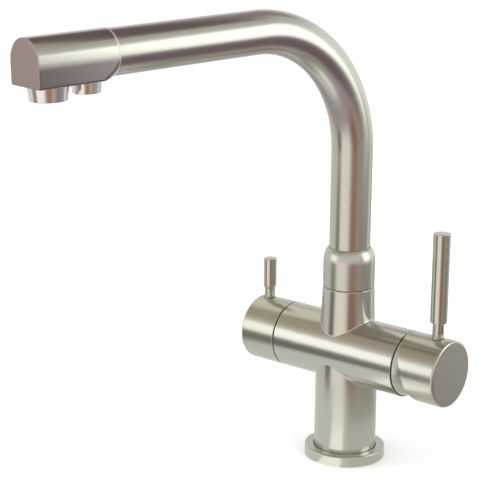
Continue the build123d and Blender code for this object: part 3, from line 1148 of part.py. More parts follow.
def outlet_housing(along, thread_radius, top_radius, end_radius, end_drop, bore_radius):
    """Screwed-in outlet: threaded neck, slightly tapered skirt, mouth with a lip."""
    seat = -HEAD_DEPTH - OUTLET_SEAT_GAP
    housing = turned(
        (0, -OUTLET_NECK_DROP),
        (thread_radius, -OUTLET_NECK_DROP),
        (thread_radius, seat),
        (top_radius, seat),
        (end_radius, -end_drop),
        (0, -end_drop),
    )
    rim = housing.edges().filter_by(GeomType.CIRCLE).group_by(Axis.Z)[0]
    housing = fillet(rim, OUTLET_RIM_ROUNDING)
    housing -= rod(bore_radius, OUTLET_MOUTH_HEIGHT - end_drop, 0)
    housing -= rod(bore_radius - OUTLET_MOUTH_LIP, -end_drop - OVERRUN, 0)
    return SPOUT_AXIS * Pos(along, 0, 0) * housing


def aerator_housing():
    return outlet_housing(
        AERATOR_AT, AERATOR_THREAD_RADIUS, AERATOR_TOP_RADIUS,
        AERATOR_END_RADIUS, AERATOR_END_DROP, AERATOR_BORE_RADIUS,
    )


def nozzle_housing():
    return outlet_housing(
        NOZZLE_AT, NOZZLE_THREAD_RADIUS, NOZZLE_TOP_RADIUS,
        NOZZLE_END_RADIUS, NOZZLE_END_DROP, NOZZLE_BORE_RADIUS,
    )


def outlet_insert(along, bore_radius, end_drop, height, hole_radius, ring_shares):
    """Cup whose bottom plate splits the water into many small jets."""
    foot = OUTLET_MOUTH_HEIGHT - end_drop
    outer = bore_radius - RUNNING_FIT
    insert = rod(outer, foot, foot + height)
    insert -= rod(outer - INSERT_WALL, foot + INSERT_PLATE, foot + height + OVERRUN)
    insert -= rod(hole_radius, foot - OVERRUN, foot + height)
    for share, count in ring_shares.items():
        for number in range(count):
            place = Pos(*on_circle(share * bore_radius, number * 360 / count), 0)
            insert -= place * rod(hole_radius, foot - OVERRUN, foot + height)
    return SPOUT_AXIS * Pos(along, 0, 0) * insert


def aerator_insert():
    return outlet_insert(
        AERATOR_AT, AERATOR_BORE_RADIUS, AERATOR_END_DROP,
        AERATOR_INSERT_HEIGHT, AERATOR_HOLE_RADIUS, AERATOR_HOLE_RING_SHARES,
    )


def nozzle_insert():
    return outlet_insert(
        NOZZLE_AT, NOZZLE_BORE_RADIUS, NOZZLE_END_DROP,
        NOZZLE_INSERT_HEIGHT, NOZZLE_HOLE_RADIUS, NOZZLE_HOLE_RING_SHARES,
    )


def outlet_washer(along, lip_radius, thread_radius):
    """Flat ring between the neck of an outlet and the lip inside the head."""
    washer = sleeve(thread_radius - SLIP_FIT, lip_radius + SLIP_FIT, -OUTLET_NECK_DROP, -OUTLET_LIP_DROP)
    return SPOUT_AXIS * Pos(along, 0, 0) * washer


def aerator_washer():
    return outlet_washer(AERATOR_AT, AERATOR_LIP_RADIUS, AERATOR_THREAD_RADIUS)


def nozzle_washer():
    return outlet_washer(NOZZLE_AT, NOZZLE_LIP_RADIUS, NOZZLE_THREAD_RADIUS)


def outlet_elbow():
    """Elbow in the head: takes the hose from behind and leads down to the nozzle."""
    elbow = rod(NOZZLE_LIP_RADIUS - RUNNING_FIT, -ELBOW_FOOT_DROP, -HEAD_CHAMBER_FLOOR)
    elbow += rod(ELBOW_FLANGE_RADIUS, -HEAD_CHAMBER_FLOOR, ELBOW_FLANGE_HEIGHT - HEAD_CHAMBER_FLOOR)
    elbow += rod(ELBOW_RADIUS, -HEAD_CHAMBER_FLOOR, ELBOW_TOP)
    barb = rod(HOSE_BORE_RADIUS - RUNNING_FIT, -ELBOW_RADIUS - BARB_LENGTH, 0)
    elbow += TURN_TO_X * barb
    elbow -= rod(HOSE_BORE_RADIUS, -ELBOW_FOOT_DROP - OVERRUN, 0)
    elbow -= TURN_TO_X * rod(SPIGOT_BORE_RADIUS, -ELBOW_RADIUS - BARB_LENGTH - OVERRUN, 0)
    return SPOUT_AXIS * Pos(NOZZLE_AT, 0, 0) * elbow


PIECES = {
    "tap_body": tap_body,
    "base_ring": base_ring,
    "base_seal": base_seal,
    "cartridge_base": cartridge_base,
    "cartridge_port_seals": port_seals,
    "cartridge_fixed_disc": fixed_disc,
    "cartridge_moving_disc": moving_disc,
    "disc_carrier": disc_carrier,
    "cartridge_housing": cartridge_housing,
    "spindle_guide": spindle_guide,
    "pivot_pin": pivot_pin,
    "cartridge_lock_nut": lock_nut,
    "dome_ring": dome_ring,
    "mixer_spindle": mixer_spindle,
    "mixer_hub": mixer_hub,
    "mixer_lever": mixer_lever,
    "mixer_grub_screw": mixer_grub_screw,
    "filter_valve_body": filter_valve_body,
    "filter_seat_seal": filter_seat_seal,
    "filter_fixed_disc": filter_fixed_disc,
    "filter_moving_disc": filter_moving_disc,
    "filter_spindle": filter_spindle,
    "filter_spindle_ring": filter_spindle_ring,
    "filter_clip": filter_clip,
    "filter_hub": filter_hub,
    "filter_lever": filter_lever,
    "filter_grub_screw": filter_grub_screw,
    "swivel_collar": swivel_collar,
    "glide_ring": glide_ring,
    "swivel_nipple": swivel_nipple,
    "swivel_rings": swivel_rings,
    "spout_stop_screw": spout_stop_screw,
    "filtered_spigot": filtered_spigot,
    "spigot_ring": spigot_ring,
    "spout_tube": spout_tube,
    "filtered_hose": filtered_hose,
    "spout_head": spout_head,
    "outlet_elbow": outlet_elbow,
    "aerator_housing": aerator_housing,
    "aerator_insert": aerator_insert,
    "aerator_washer": aerator_washer,
    "nozzle_housing": nozzle_housing,
    "nozzle_insert": nozzle_insert,
    "nozzle_washer": nozzle_washer,
}

os.makedirs("parts", exist_ok=True)
for name, make in PIECES.items():
    export_step(make(), f"parts/{name}.step")
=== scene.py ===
import json
import math

import bmesh
import bpy
from mathutils import Matrix, Vector


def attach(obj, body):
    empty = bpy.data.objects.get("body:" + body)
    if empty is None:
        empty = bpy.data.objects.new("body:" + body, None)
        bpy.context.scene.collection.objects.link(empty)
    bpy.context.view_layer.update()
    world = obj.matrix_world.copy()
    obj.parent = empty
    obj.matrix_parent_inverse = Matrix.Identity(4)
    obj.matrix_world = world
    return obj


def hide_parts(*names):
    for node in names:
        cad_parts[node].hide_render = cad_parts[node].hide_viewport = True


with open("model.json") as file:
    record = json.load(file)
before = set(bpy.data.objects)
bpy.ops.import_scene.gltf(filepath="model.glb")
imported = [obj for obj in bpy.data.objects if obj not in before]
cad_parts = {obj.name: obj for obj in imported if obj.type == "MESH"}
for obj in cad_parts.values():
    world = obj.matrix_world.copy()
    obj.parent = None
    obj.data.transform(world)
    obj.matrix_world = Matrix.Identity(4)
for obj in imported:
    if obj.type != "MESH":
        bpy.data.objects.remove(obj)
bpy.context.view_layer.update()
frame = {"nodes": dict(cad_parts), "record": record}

bl_info = {
    "name": "Drinking water filter tap",
    "version": (1, 0, 0),
    "blender": (4, 5, 0),
    "location": "View3D > Sidebar > Filter tap",
    "description": "Dresses the three-way kitchen tap in smooth brushed and polished metal",
    "category": "Object",
}

MM = 0.001

# Heights and lengths below are in millimetres, as on a workshop drawing.
BARREL_Z = 78.0
PIVOT_X = 42.0
TILT_AT_REST = math.radians(12.5)
SPOUT_SWING = math.radians(9.01)
SPOUT_SLOPE = math.radians(1.49)
BEND_START_Z = 216.9
BEND_RADIUS = 86.0
CRISP_ROUNDING = 0.3
SOFT_ROUNDING = 0.4
# how near a face, a rim, an axis or another point counts as being on it
SAME_PLACE = 0.1
RIM_MARGIN = 0.4
ON_AXIS = 0.001
WELD_REACH = 0.002

# Points of an outline are (radius, height) or (radius, height, rounding) in the piece's own axes.
# casting: column foot and its hollow, neck and its bore, seats in both ends of the barrel
COLUMN_FOOT_Z = 3.0
COLUMN_HOLLOW = ((17.2, COLUMN_FOOT_Z), (17.2, 46.0), (0.0, 46.0))
NECK_ROOT_Z = 90.0
NECK_RIM_Z = 121.5
NECK_TOP_Z = 123.0
NECK_ROOT_RADIUS = 18.75
NECK_EVEN_TAPER = 0.75
NECK_GROWING_TAPER = 0.25
NECK_BARE_RADIUS = 17.4
NECK_TOP = ((17.75, NECK_TOP_Z, 0.6), (12.5, NECK_TOP_Z), (12.5, 94.0), (0.0, 94.0))
MIXER_END_X = 51.75
MIXER_SEATS = (
    (21.25, MIXER_END_X, 0.1), (21.25, 46.5), (19.55, 46.5), (19.55, 41.0),
    (17.6, 41.0), (17.6, 11.0), (0.0, 11.0),
)
FILTER_END_X = 47.5
FILTER_SEATS = ((13.5, FILTER_END_X, 0.2), (13.5, 41.0), (10.3, 41.0), (10.3, 21.5), (0.0, 21.5))
END_ROUNDING = 0.35
# water ports from below, round the column's axis
PORT_ANGLES = (50, -50, 180)
PORT_CIRCLE = 10.5
PORT_RADIUS = 4.5
PORT_HEIGHTS = (44.0, 54.5)
# other drilled holes: radius, start, end
STUD_HOLE = (3.4, (0, 0, 44.0), (0, 0, 56.0))
STOP_SCREW_HOLE = (2.55, (0, 12.0, 115.0), (0, 21.0, 115.0))

# saddles where column and neck meet the barrel
SIDE_STEPS = 64
TOP_STEPS = 24
FILLET_STEPS = 4
FIELD_STEPS = 8
BRANCH_STEPS = 6
SADDLE_REACH = 27.0
SADDLE_CORNER = math.radians(58)
BARREL_MARGIN = 0.25

# base ring with the bed of its seal
RING_GAP = 0.35
RING_ROUNDING = 0.9
RING_BED = ((17.5, COLUMN_FOOT_Z), (17.5, 0.0), (22.6, 0.0), (22.6, 2.0), (25.6, 2.0), (25.6, 0.0))

# swivel collar, whose dome is drawn for a collar of 17.7
COLLAR_FOOT_Z = 123.3
COLLAR_FLOOR_Z = 128.3
COLLAR_TOP_Z = 150.4
COLLAR_BORE = ((16.25, COLLAR_FLOOR_Z), (16.25, COLLAR_FOOT_Z))
COLLAR_SIDE = (130.0, 136.0, 141.0)
COLLAR_DRAWN_RADIUS = 17.7
COLLAR_SEGMENTS = 160
COLLAR_DOME = ((17.62, 142.6), (17.42, 144.2), (17.14, 145.6), (16.78, 146.9), (16.32, 148.0))
COLLAR_SHOULDER = ((15.78, 149.0), (15.2, 149.8), (14.6, COLLAR_TOP_Z, 0.15))

# spout tube
TUBE_GAP = 0.05
TUBE_INSET = 0.04
TUBE_WALL = 1.4
TUBE_SEGMENTS = 128
FOOT_STEPS = 8
BEND_STEPS = 72
TIP_STEPS = 10
END_STEP = 0.3

# spout head: places along the spout, and the pairs are a place with its radius
HEAD_START = 202.0
HEAD_END = 258.0
HEAD_DEPTH = 13.6
HEAD_CORNER = 1.0
HEAD_EDGE = 0.4
HEAD_SOCKET = 12.55
HEAD_BEAD = ((202.0, 14.1), (202.15, 14.38), (202.5, 14.5), (202.9, 14.46), (203.15, 14.3))
# rows of the head up to here get the bead's pale tone: a painted highlight along the bead at the head's
# rear edge
BEAD_HIGHLIGHT_END = 203.1
FLARE_ROWS = (203.3, 219.6)
FLARE_STEPS = 34
FLARE_START = 202.8
FLARE_LENGTH = 13.6
FLARE_RADIUS = 14.4
FLARE_GROWTH = 5.9
FLARE_BULGE = 0.28
FLARE_SLOPE = 0.5
HEAD_ROWS = (226.0, 234.0, 242.0, 250.0, 255.0, 257.3)
FRONT_INSETS = (1.2, 4.0, 8.0, 12.0)
# depths under the spout's axis between which the flats of the head turn darker: painted shade on the
# head's sides and underside
FLATS_START = -0.8
FLATS_FULL = 3.6

# outlets: name, node, place along the spout, radii of thread, top, end and bore, drop of the end
OUTLETS = (
    ("mixed_outlet", "aerator_housing", 243.2, 10.5, 12.1, 11.0, 9.5, 22.4),
    ("filtered_outlet", "nozzle_housing", 217.0, 7.5, 9.0, 8.3, 6.5, 21.3),
)
OUTLET_HEIGHTS = (-7.9, -13.7)
OUTLET_LIP = 1.2
OUTLET_LIP_HEIGHT = 1.0

# dome ring: a thin ball shell round the pivot, on a sleeve
DOME_BALL = 24.25
DOME_WALL = 1.5
DOME_BORE = 12.5
DOME_OUTSIDE = (52.2, 62.8)
DOME_INSIDE = (60.9, 52.9)
DOME_SLEEVE = ((20.0, 52.8), (20.0, 46.5), (21.2, 46.5), (21.2, 52.2))

# rings on the flat face of both handle blocks
FACE_RINGS = (16.0, 10.0, 5.0)
# mixer handle, whose back is cut at a slant; its hollow is a ball round the pivot
MIXER_FACE_X = 85.0
MIXER_CUT_X = 59.4
MIXER_SLANT = math.radians(17.3)
MIXER_BREAK = 0.12
MIXER_SIDE = (0.0, 0.06, 0.3, 0.6, 0.9, 1.0)
MIXER_RIM_STEPS = 8
MIXER_FACE_STEP = 0.6
MIXER_BALL = 24.6
MIXER_BALL_STEPS = 13
MIXER_SCREW_RADIUS = 2.55
MIXER_SCREW_REACH = 30.0
MIXER_SCREW_HOLE = (14.5, 40.0)

# filter handle
FILTER_BACK_X = 48.4
# faces of the filter block on the barrel's side of this plane get near-black painted shade, as for the gap
# to the barrel
FILTER_GAP_SHADE_X = -48.3
FILTER_FLOOR_X = 56.6
FILTER_FACE_X = 77.0
FILTER_BACK = (
    (0.0, FILTER_FLOOR_X), (4.2, FILTER_FLOOR_X), (15.0, FILTER_FLOOR_X), (15.0, FILTER_BACK_X, 0.2),
)
FILTER_SIDE = (55.0, 62.0, 70.0)
FILTER_SCREW_HOLE = (2.05, (-62.0, 0, 68.5), (-62.0, 0, 50.0))
VALVE_RING_X = 44.9
VALVE_RING_RADIUS = 4.475
VALVE_RING_SECTION = 0.545

# levers, which stand upright in a hole of their block
LEVER_FOOT_Z = 99.2
LEVER_HOLE_END_Z = 106.0
LEVER_GAP = 0.35
MIXER_LEVER_X = 73.7
MIXER_LEVER = (
    (0.0, LEVER_FOOT_Z), (3.83, LEVER_FOOT_Z), (3.83, 111.85, 0.1), (5.65, 111.85, 0.3),
    (5.65, 130.0), (5.65, 150.0), (5.65, 172.3, 0.45), (0.0, 172.3),
)
FILTER_LEVER_X = -69.3
FILTER_LEVER = (
    (0.0, LEVER_FOOT_Z), (3.7, LEVER_FOOT_Z), (3.7, 107.4, 0.1), (4.6, 110.1, 0.3),
    (4.6, 120.0), (4.6, 129.8, 0.4), (0.0, 129.8),
)

# brush lines of the nickel: noise per metre across the turned axis and per millimetre along it,
# spread of tint and roughness, and the broader clouds mixed into the roughness
BRUSH_ACROSS = 14.0
BRUSH_ALONG = 5.5
BRUSH_TINT = 0.025
BRUSH_ROUGHNESS = 0.015
LINE_DETAIL = 4.0
LINE_ROUGHNESS = 0.65
CLOUD_SCALE = 22.0
CLOUD_DETAIL = 2.0
CLOUD_SHARE = 0.35
# grain of the other finishes, and the depth of all fine relief
GRAIN_DETAIL = 3.0
GRAIN_ROUGHNESS = 0.06
RELIEF = 0.05

# Studio round the tap. Azimuth 0 is the front of the tap and 90 its mixer side, in degrees.
FLOOR_SIZE = 6000.0
FLOOR_WHITE = 0.15
FLOOR_ROUGHNESS = 0.9
LIT_FLOOR_RADIUS = 170.0
LIT_FLOOR_BORDER = 30.0
LIT_FLOOR_TONE = (0.84, 0.87, 0.82)
# cards on the lit floor: azimuth, radius, half angle, half reach, border; tone; strength
FLOOR_CARDS = (
    ((108, 0, 66, 180, 8), (0.73, 0.74, 0.67), 1.0),
    ((104, 150, 58, 50, 16), (0.50, 0.50, 0.43), 1.0),
    ((-172, 110, 18, 52, 6), (0.68, 0.69, 0.65), 1.0),
    ((11, 0, 19, 150, 2), (1.0, 1.0, 0.94), 1.2),
    ((11, 0, 19, 90, 2), (1.0, 0.99, 0.92), 1.45),
)
# room seen in the metal: elevation; tone
ROOM_TONES = (
    (-70, (0.53, 0.49, 0.55)),
    (-38, (0.50, 0.44, 0.46)),
    (-20, (0.80, 0.80, 0.76)),
    (10, (0.86, 0.87, 0.84)),
    (30, (0.78, 0.80, 0.76)),
    (55, (0.56, 0.54, 0.44)),
)
# panels round the room: azimuth, elevation, half width, half height, border; tone; strength
STUDIO_PANELS = (
    ((-112, 48, 28, 14, 8), (0.95, 0.93, 0.80), 1.0),
    ((-50, 49, 27, 17, 8), (0.54, 0.47, 0.35), 1.0),
    ((-160, 43, 22, 14, 4), (0.37, 0.31, 0.33), 1.0),
    ((-172, -18, 15, 10, 5), (0.50, 0.50, 0.48), 1.0),
    ((162, 8, 28, 16, 9), (0.98, 1.04, 0.98), 1.1),
    ((122, -13, 28, 10, 4), (0.42, 0.42, 0.39), 1.0),
    ((116, -37, 34, 19, 6), (0.23, 0.16, 0.20), 1.0),
    ((82, -15, 14, 13, 4), (0.48, 0.40, 0.31), 1.0),
    ((52, -20, 17, 15, 5), (0.38, 0.19, 0.14), 1.0),
    ((1, -16, 23, 14, 4), (1.0, 0.96, 0.88), 1.2),
    ((-38, -18, 12, 12, 5), (0.20, 0.18, 0.16), 1.0),
)
# soft boxes: azimuth, distance, half width, lower edge, upper edge; tone; strength
SOFT_BOXES = (
    ((-37, 1400, 400, 20, 640), (0.96, 0.96, 0.95), 0.95),
    ((121, 850, 270, 100, 830), (0.96, 1.0, 0.97), 1.4),
)
# lamps and the dark flag over the spout head, in metres: place, target, width, height
KEY_LAMP = ((-1.2, -1.0, 1.0), (0, -0.1, 0.15), 0.9, 0.9)
FILL_LAMP = ((1.3, -0.4, 0.8), (0, 0, 0.12), 0.6, 0.9)
DARK_FLAG = ((-0.10, -0.08, 0.50), (-0.04, -0.25, 0.31), 0.36, 0.14)
FLAG_TONE = (0.18, 0.13, 0.15)
# camera: place in metres; yaw, pitch and roll in radians; lens and sensor in millimetres
CAMERA_PLACE = (0.59942, -0.83028, 0.42153)
CAMERA_TURNS = (0.6991, -0.2555, 0.0077)
CAMERA_LENS = 116.38
CAMERA_SENSOR = 36.0


# user values
def length(name, description, millimetres):
    return bpy.props.FloatProperty(
        name=name, description=description, default=millimetres * MM, min=0.0, unit="LENGTH", precision=5
    )


def share(name, description, value):
    return bpy.props.FloatProperty(
        name=name, description=description, default=value, min=0.0, max=1.0, subtype="FACTOR"
    )


def colour(name, description, value):
    return bpy.props.FloatVectorProperty(
        name=name, description=description, default=value, min=0.0, max=1.0, size=3, subtype="COLOR"
    )


def power(name, description, watts):
    return bpy.props.FloatProperty(
        name=name, description=description, default=watts, min=0.0, unit="POWER"
    )


class TapSizes(bpy.types.PropertyGroup):
    """Main sizes of the pieces in view; the inner pieces keep their solids."""

    column_radius: length("Column radius", "Outside of the upright column", 21.5)
    barrel_radius: length("Barrel radius", "Outside of the horizontal barrel", 22.8)
    ring_radius: length("Base ring radius", "Outside of the ring on the deck", 28.0)
    ring_height: length("Base ring height", "Height of the ring on the deck", 7.5)
    mixer_hub_radius: length("Mixer hub radius", "Outside of the mixer handle block", 22.65)
    filter_hub_radius: length("Filter hub radius", "Outside of the filter handle block", 22.8)
    collar_radius: length("Collar radius", "Outside of the swivel collar", 17.7)
    tube_radius: length("Spout tube radius", "Outside of the spout tube", 14.0)
    head_half_width: length("Head half width", "Half the width of the spout head", 14.5)
    saddle_fillet: length("Saddle fillet", "Rounding where column and neck meet the barrel", 1.0)
    rim_rounding: length("Rim rounding", "Rounding of the outer rims of the handle blocks", 1.5)


class TapFinish(bpy.types.PropertyGroup):
    """Colours and finishes of the pieces in view."""

    nickel: colour("Nickel colour", "Brushed nickel on body, spout and handles", (0.555, 0.54, 0.49))
    chrome: colour("Chrome colour", "Polished chrome on both outlets", (0.80, 0.77, 0.74))
    roughness: share("Brushed roughness", "Mean roughness of the brushed nickel", 0.21)
    brush_depth: share("Brush depth", "Strength of the fine brush lines", 0.008)


class StudioLook(bpy.types.PropertyGroup):
    """Floor, backdrop and lamps."""

    floor_colour: colour("Floor colour", "Plain floor under the tap", (0.95, 0.95, 0.95))
    light_colour: colour("Light colour", "Even light from all sides on matt surfaces", (0.92, 0.92, 0.92))
    key_power: power("Key lamp", "Power of the large lamp on the left", 9.0)
    fill_power: power("Fill lamp", "Power of the lamp on the right", 5.0)


def size(name):
    """User value of a size, in millimetres."""
    return getattr(bpy.context.scene.tap_sizes, name) / MM


# axes of the turned pieces and of the spout
def axis_frame(origin, x_dir, z_dir):
    """Matrix of local axes, in millimetres."""
    z_axis = Vector(z_dir).normalized()
    x_axis = Vector(x_dir).normalized()
    y_axis = z_axis.cross(x_axis)
    turn = Matrix((x_axis, y_axis, z_axis)).transposed().to_4x4()
    return Matrix.Translation(Vector(origin)) @ turn


COLUMN_AXES = Matrix.Identity(4)
MIXER_AXES = axis_frame((0, 0, BARREL_Z), (0, 1, 0), (1, 0, 0))
FILTER_AXES = axis_frame((0, 0, BARREL_Z), (0, -1, 0), (-1, 0, 0))
# ends of the barrel: axes, step of the rows beside the saddle, start of the rim, end, seats
BARREL_ENDS = (
    (MIXER_AXES, 6, 50.0, MIXER_END_X, MIXER_SEATS),
    (FILTER_AXES, 5, 46.0, FILTER_END_X, FILTER_SEATS),
)
SPOUT_LEVEL = Vector((-math.sin(SPOUT_SWING), -math.cos(SPOUT_SWING), 0))
SPOUT_ALONG = SPOUT_LEVEL * math.cos(SPOUT_SLOPE) - Vector((0, 0, math.sin(SPOUT_SLOPE)))
SPOUT_UP = SPOUT_LEVEL * math.sin(SPOUT_SLOPE) + Vector((0, 0, math.cos(SPOUT_SLOPE)))
SPOUT_SIDE = SPOUT_UP.cross(SPOUT_ALONG)
BEND_TURN = math.pi / 2 + SPOUT_SLOPE
SPOUT_START_Z = (
    BEND_START_Z
    + BEND_RADIUS * math.sin(BEND_TURN)
    + BEND_RADIUS * (1 - math.cos(BEND_TURN)) * math.tan(SPOUT_SLOPE)
)
SPOUT_ORIGIN = Vector((0, 0, SPOUT_START_Z))


def on_spout(along, side=0.0, up=0.0):
    """Point beside the sloping part of the spout, in millimetres."""
    return SPOUT_ORIGIN + SPOUT_ALONG * along + SPOUT_SIDE * side + SPOUT_UP * up


def on_circle(radius, angle):
    return radius * math.cos(angle), radius * math.sin(angle)


# mesh tools
class Skin:
    """Collects the points and faces of one piece, with each point's place along the brushing axis."""

    def __init__(self):
        self.points = []
        self.brush = []
        self.faces = []

    def add(self, point, brush):
        self.points.append(Vector(point) * MM)
        self.brush.append(brush)
        return len(self.points) - 1

    def row(self, points, brush):
        marks = brush if isinstance(brush, (list, tuple)) else [brush] * len(points)
        return [self.add(point, mark) for point, mark in zip(points, marks)]

    def band(self, first, second):
        count = len(first)
        for i in range(count):
            j = (i + 1) % count
            self.faces.append((first[i], first[j], second[j], second[i]))

    def bands(self, rows):
        for first, second in zip(rows, rows[1:]):
            self.band(first, second)

    def cap(self, row, centre):
        for i in range(len(row)):
            self.faces.append((row[i], row[(i + 1) % len(row)], centre))

    def to_mesh(self, name, brushed=True):
        mesh = bpy.data.meshes.new(name)
        mesh.from_pydata(self.points, [], self.faces)
        if brushed:
            mark = mesh.attributes.new("brush", "FLOAT", "POINT")
            mark.data.foreach_set("value", self.brush)
        weld(mesh)
        return mesh

    def to_object(self, name, body, finish, node):
        piece = bpy.data.objects.new(name, self.to_mesh(name))
        bpy.context.scene.collection.objects.link(piece)
        piece.data.materials.append(finishes()[finish])
        shading = piece.modifiers.new("Even shading", "WEIGHTED_NORMAL")
        shading.weight = 100
        shading.keep_sharp = True
        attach(piece, body)
        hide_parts(node)
        return piece


def weld(mesh):
    """Joins the seams between patches and turns all faces outwards."""
    work = bmesh.new()
    work.from_mesh(mesh)
    bmesh.ops.remove_doubles(work, verts=work.verts, dist=WELD_REACH * MM)
    bmesh.ops.recalc_face_normals(work, faces=work.faces)
    for face in work.faces:
        face.smooth = True
    work.to_mesh(mesh)
    work.free()


def give_faces(piece, finish, chosen):
    """Gives one finish to the faces chosen by their middle, in millimetres."""
    material = finishes()[finish]
    if material.name not in piece.data.materials:
        piece.data.materials.append(material)
    number = piece.data.materials.find(material.name)
    for face in piece.data.polygons:
        if chosen(face.center / MM):
            face.material_index = number


def soften(corners, steps=4):
    """Outline with its corners rounded; a corner is (radius, height) or (radius, height, rounding)."""
    outline = []
    for i, corner in enumerate(corners):
        here = Vector(corner[:2])
        rounding = corner[2] if len(corner) > 2 else 0.0
        if not rounding or i in (0, len(corners) - 1):
            outline.append(here)
            continue
        back = Vector(corners[i - 1][:2]) - here
        ahead = Vector(corners[i + 1][:2]) - here
        bend = back.angle(ahead)
        reach = rounding / math.tan(bend / 2)
        start = here + back.normalized() * reach
        end = here + ahead.normalized() * reach
        middle = (back.normalized() + ahead.normalized()).normalized()
        centre = here + middle * (rounding / math.sin(bend / 2))
        for step in range(steps + 1):
            spoke = (start - centre).slerp(end - centre, step / steps)
            outline.append(centre + spoke * rounding)
    return outline


def arc_rows(centre_height, radius, first_height, last_height, count):
    """Outline points on a circle whose centre lies on the axis."""
    first = math.asin((first_height - centre_height) / radius)
    last = math.asin((last_height - centre_height) / radius)
    rows = []
    for i in range(count + 1):
        out, up = on_circle(radius, first + (last - first) * i / count)
        rows.append((out, centre_height + up))
    return rows


def ring_angles(count):
    return [2 * math.pi * i / count for i in range(count)]


def turn_on(skin, outline, axes, angles):
    """Adds a turned surface to a skin; an outline point on the axis closes it."""
    rows = []
    for radius, height in outline:
        if radius < ON_AXIS:
            rows.append(skin.add(axes @ Vector((0, 0, height)), height))
            continue
        rows.append(skin.row([axes @ Vector((*on_circle(radius, a), height)) for a in angles], height))
    for first, second in zip(rows, rows[1:]):
        if isinstance(first, int):
            skin.cap(second, first)
        elif isinstance(second, int):
            skin.cap(first, second)
        else:
            skin.band(first, second)


def turned_piece(name, outline, axes, body, finish, node, segments=192):
    skin = Skin()
    turn_on(skin, outline, axes, ring_angles(segments))
    return skin.to_object(name, body, finish, node)


def drill(piece, radius, start, end):
    """Cuts a round hole between two points, in millimetres."""
    direction = Vector(end) - Vector(start)
    deep = direction.length
    skin = Skin()
    outline = [(0, 0), (radius, 0), (radius, deep), (0, deep)]
    turn_on(skin, outline, axis_frame(start, direction.orthogonal(), direction), ring_angles(64))
    cutter_mesh = skin.to_mesh("drill", False)
    cutter = bpy.data.objects.new("drill", cutter_mesh)
    bpy.context.scene.collection.objects.link(cutter)
    cut = piece.modifiers.new("Hole", "BOOLEAN")
    cut.operation = "DIFFERENCE"
    cut.solver = "EXACT"
    cut.object = cutter
    piece.modifiers.move(len(piece.modifiers) - 1, 0)
    bpy.context.view_layer.update()
    baked = bpy.data.meshes.new_from_object(piece.evaluated_get(bpy.context.evaluated_depsgraph_get()))
    piece.modifiers.remove(cut)
    old = piece.data
    piece.data = baked
    bpy.data.meshes.remove(old)
    bpy.data.objects.remove(cutter)
    bpy.data.meshes.remove(cutter_mesh)


# shader tools
def add_node(tree, kind, inputs=None, **options):
    """Adds a shader node with its options; inputs are sockets to link or plain values."""
    node = tree.nodes.new(kind)
    for name, value in options.items():
        setattr(node, name, value)
    for name, value in (inputs or {}).items():
        if isinstance(value, bpy.types.NodeSocket):
            tree.links.new(value, node.inputs[name])
        else:
            node.inputs[name].default_value = value
    return node


def math_node(tree, operation, *values):
    """Adds one calculation on sockets or numbers and returns its result."""
    return add_node(tree, "ShaderNodeMath", dict(enumerate(values)), operation=operation).outputs[0]


def mix_tones(tree, part, first, second):
    """Colour between two colours or sockets."""
    inputs = {"Factor": part, "A": first, "B": second}
    return add_node(tree, "ShaderNodeMix", inputs, data_type="RGBA").outputs["Result"]


def mix_shaders(tree, part, first, second):
    inputs = {"Fac": part, 1: first, 2: second}
    return add_node(tree, "ShaderNodeMixShader", inputs).outputs[0]


def glow(tree, tone, strength=1.0):
    return add_node(tree, "ShaderNodeEmission", {"Color": tone, "Strength": strength}).outputs[0]


def opaque(tone):
    return (*tone, 1.0)


def smooth_step(tree, limits):
    return add_node(tree, "ShaderNodeMapRange", limits, interpolation_type="SMOOTHSTEP").outputs["Result"]


def noise(tree, place, scale, detail, **rest):
    inputs = {"Vector": place, "Scale": scale, "Detail": detail, **rest}
    return add_node(tree, "ShaderNodeTexNoise", inputs).outputs["Fac"]


def new_material(name):
    material = bpy.data.materials.new(name)
    material.use_nodes = True
    tree = material.node_tree
    return material, tree, tree.nodes["Principled BSDF"]


def set_surface(tree, shader, metallic, tone, roughness, relief, depth):
    """Gives a shader its metal, colour, roughness and fine relief."""
    shader.inputs["Metallic"].default_value = metallic
    bump = add_node(tree, "ShaderNodeBump", {"Strength": depth, "Distance": RELIEF * MM, "Height": relief})
    tree.links.new(tone, shader.inputs["Base Color"])
    tree.links.new(roughness, shader.inputs["Roughness"])
    tree.links.new(bump.outputs["Normal"], shader.inputs["Normal"])


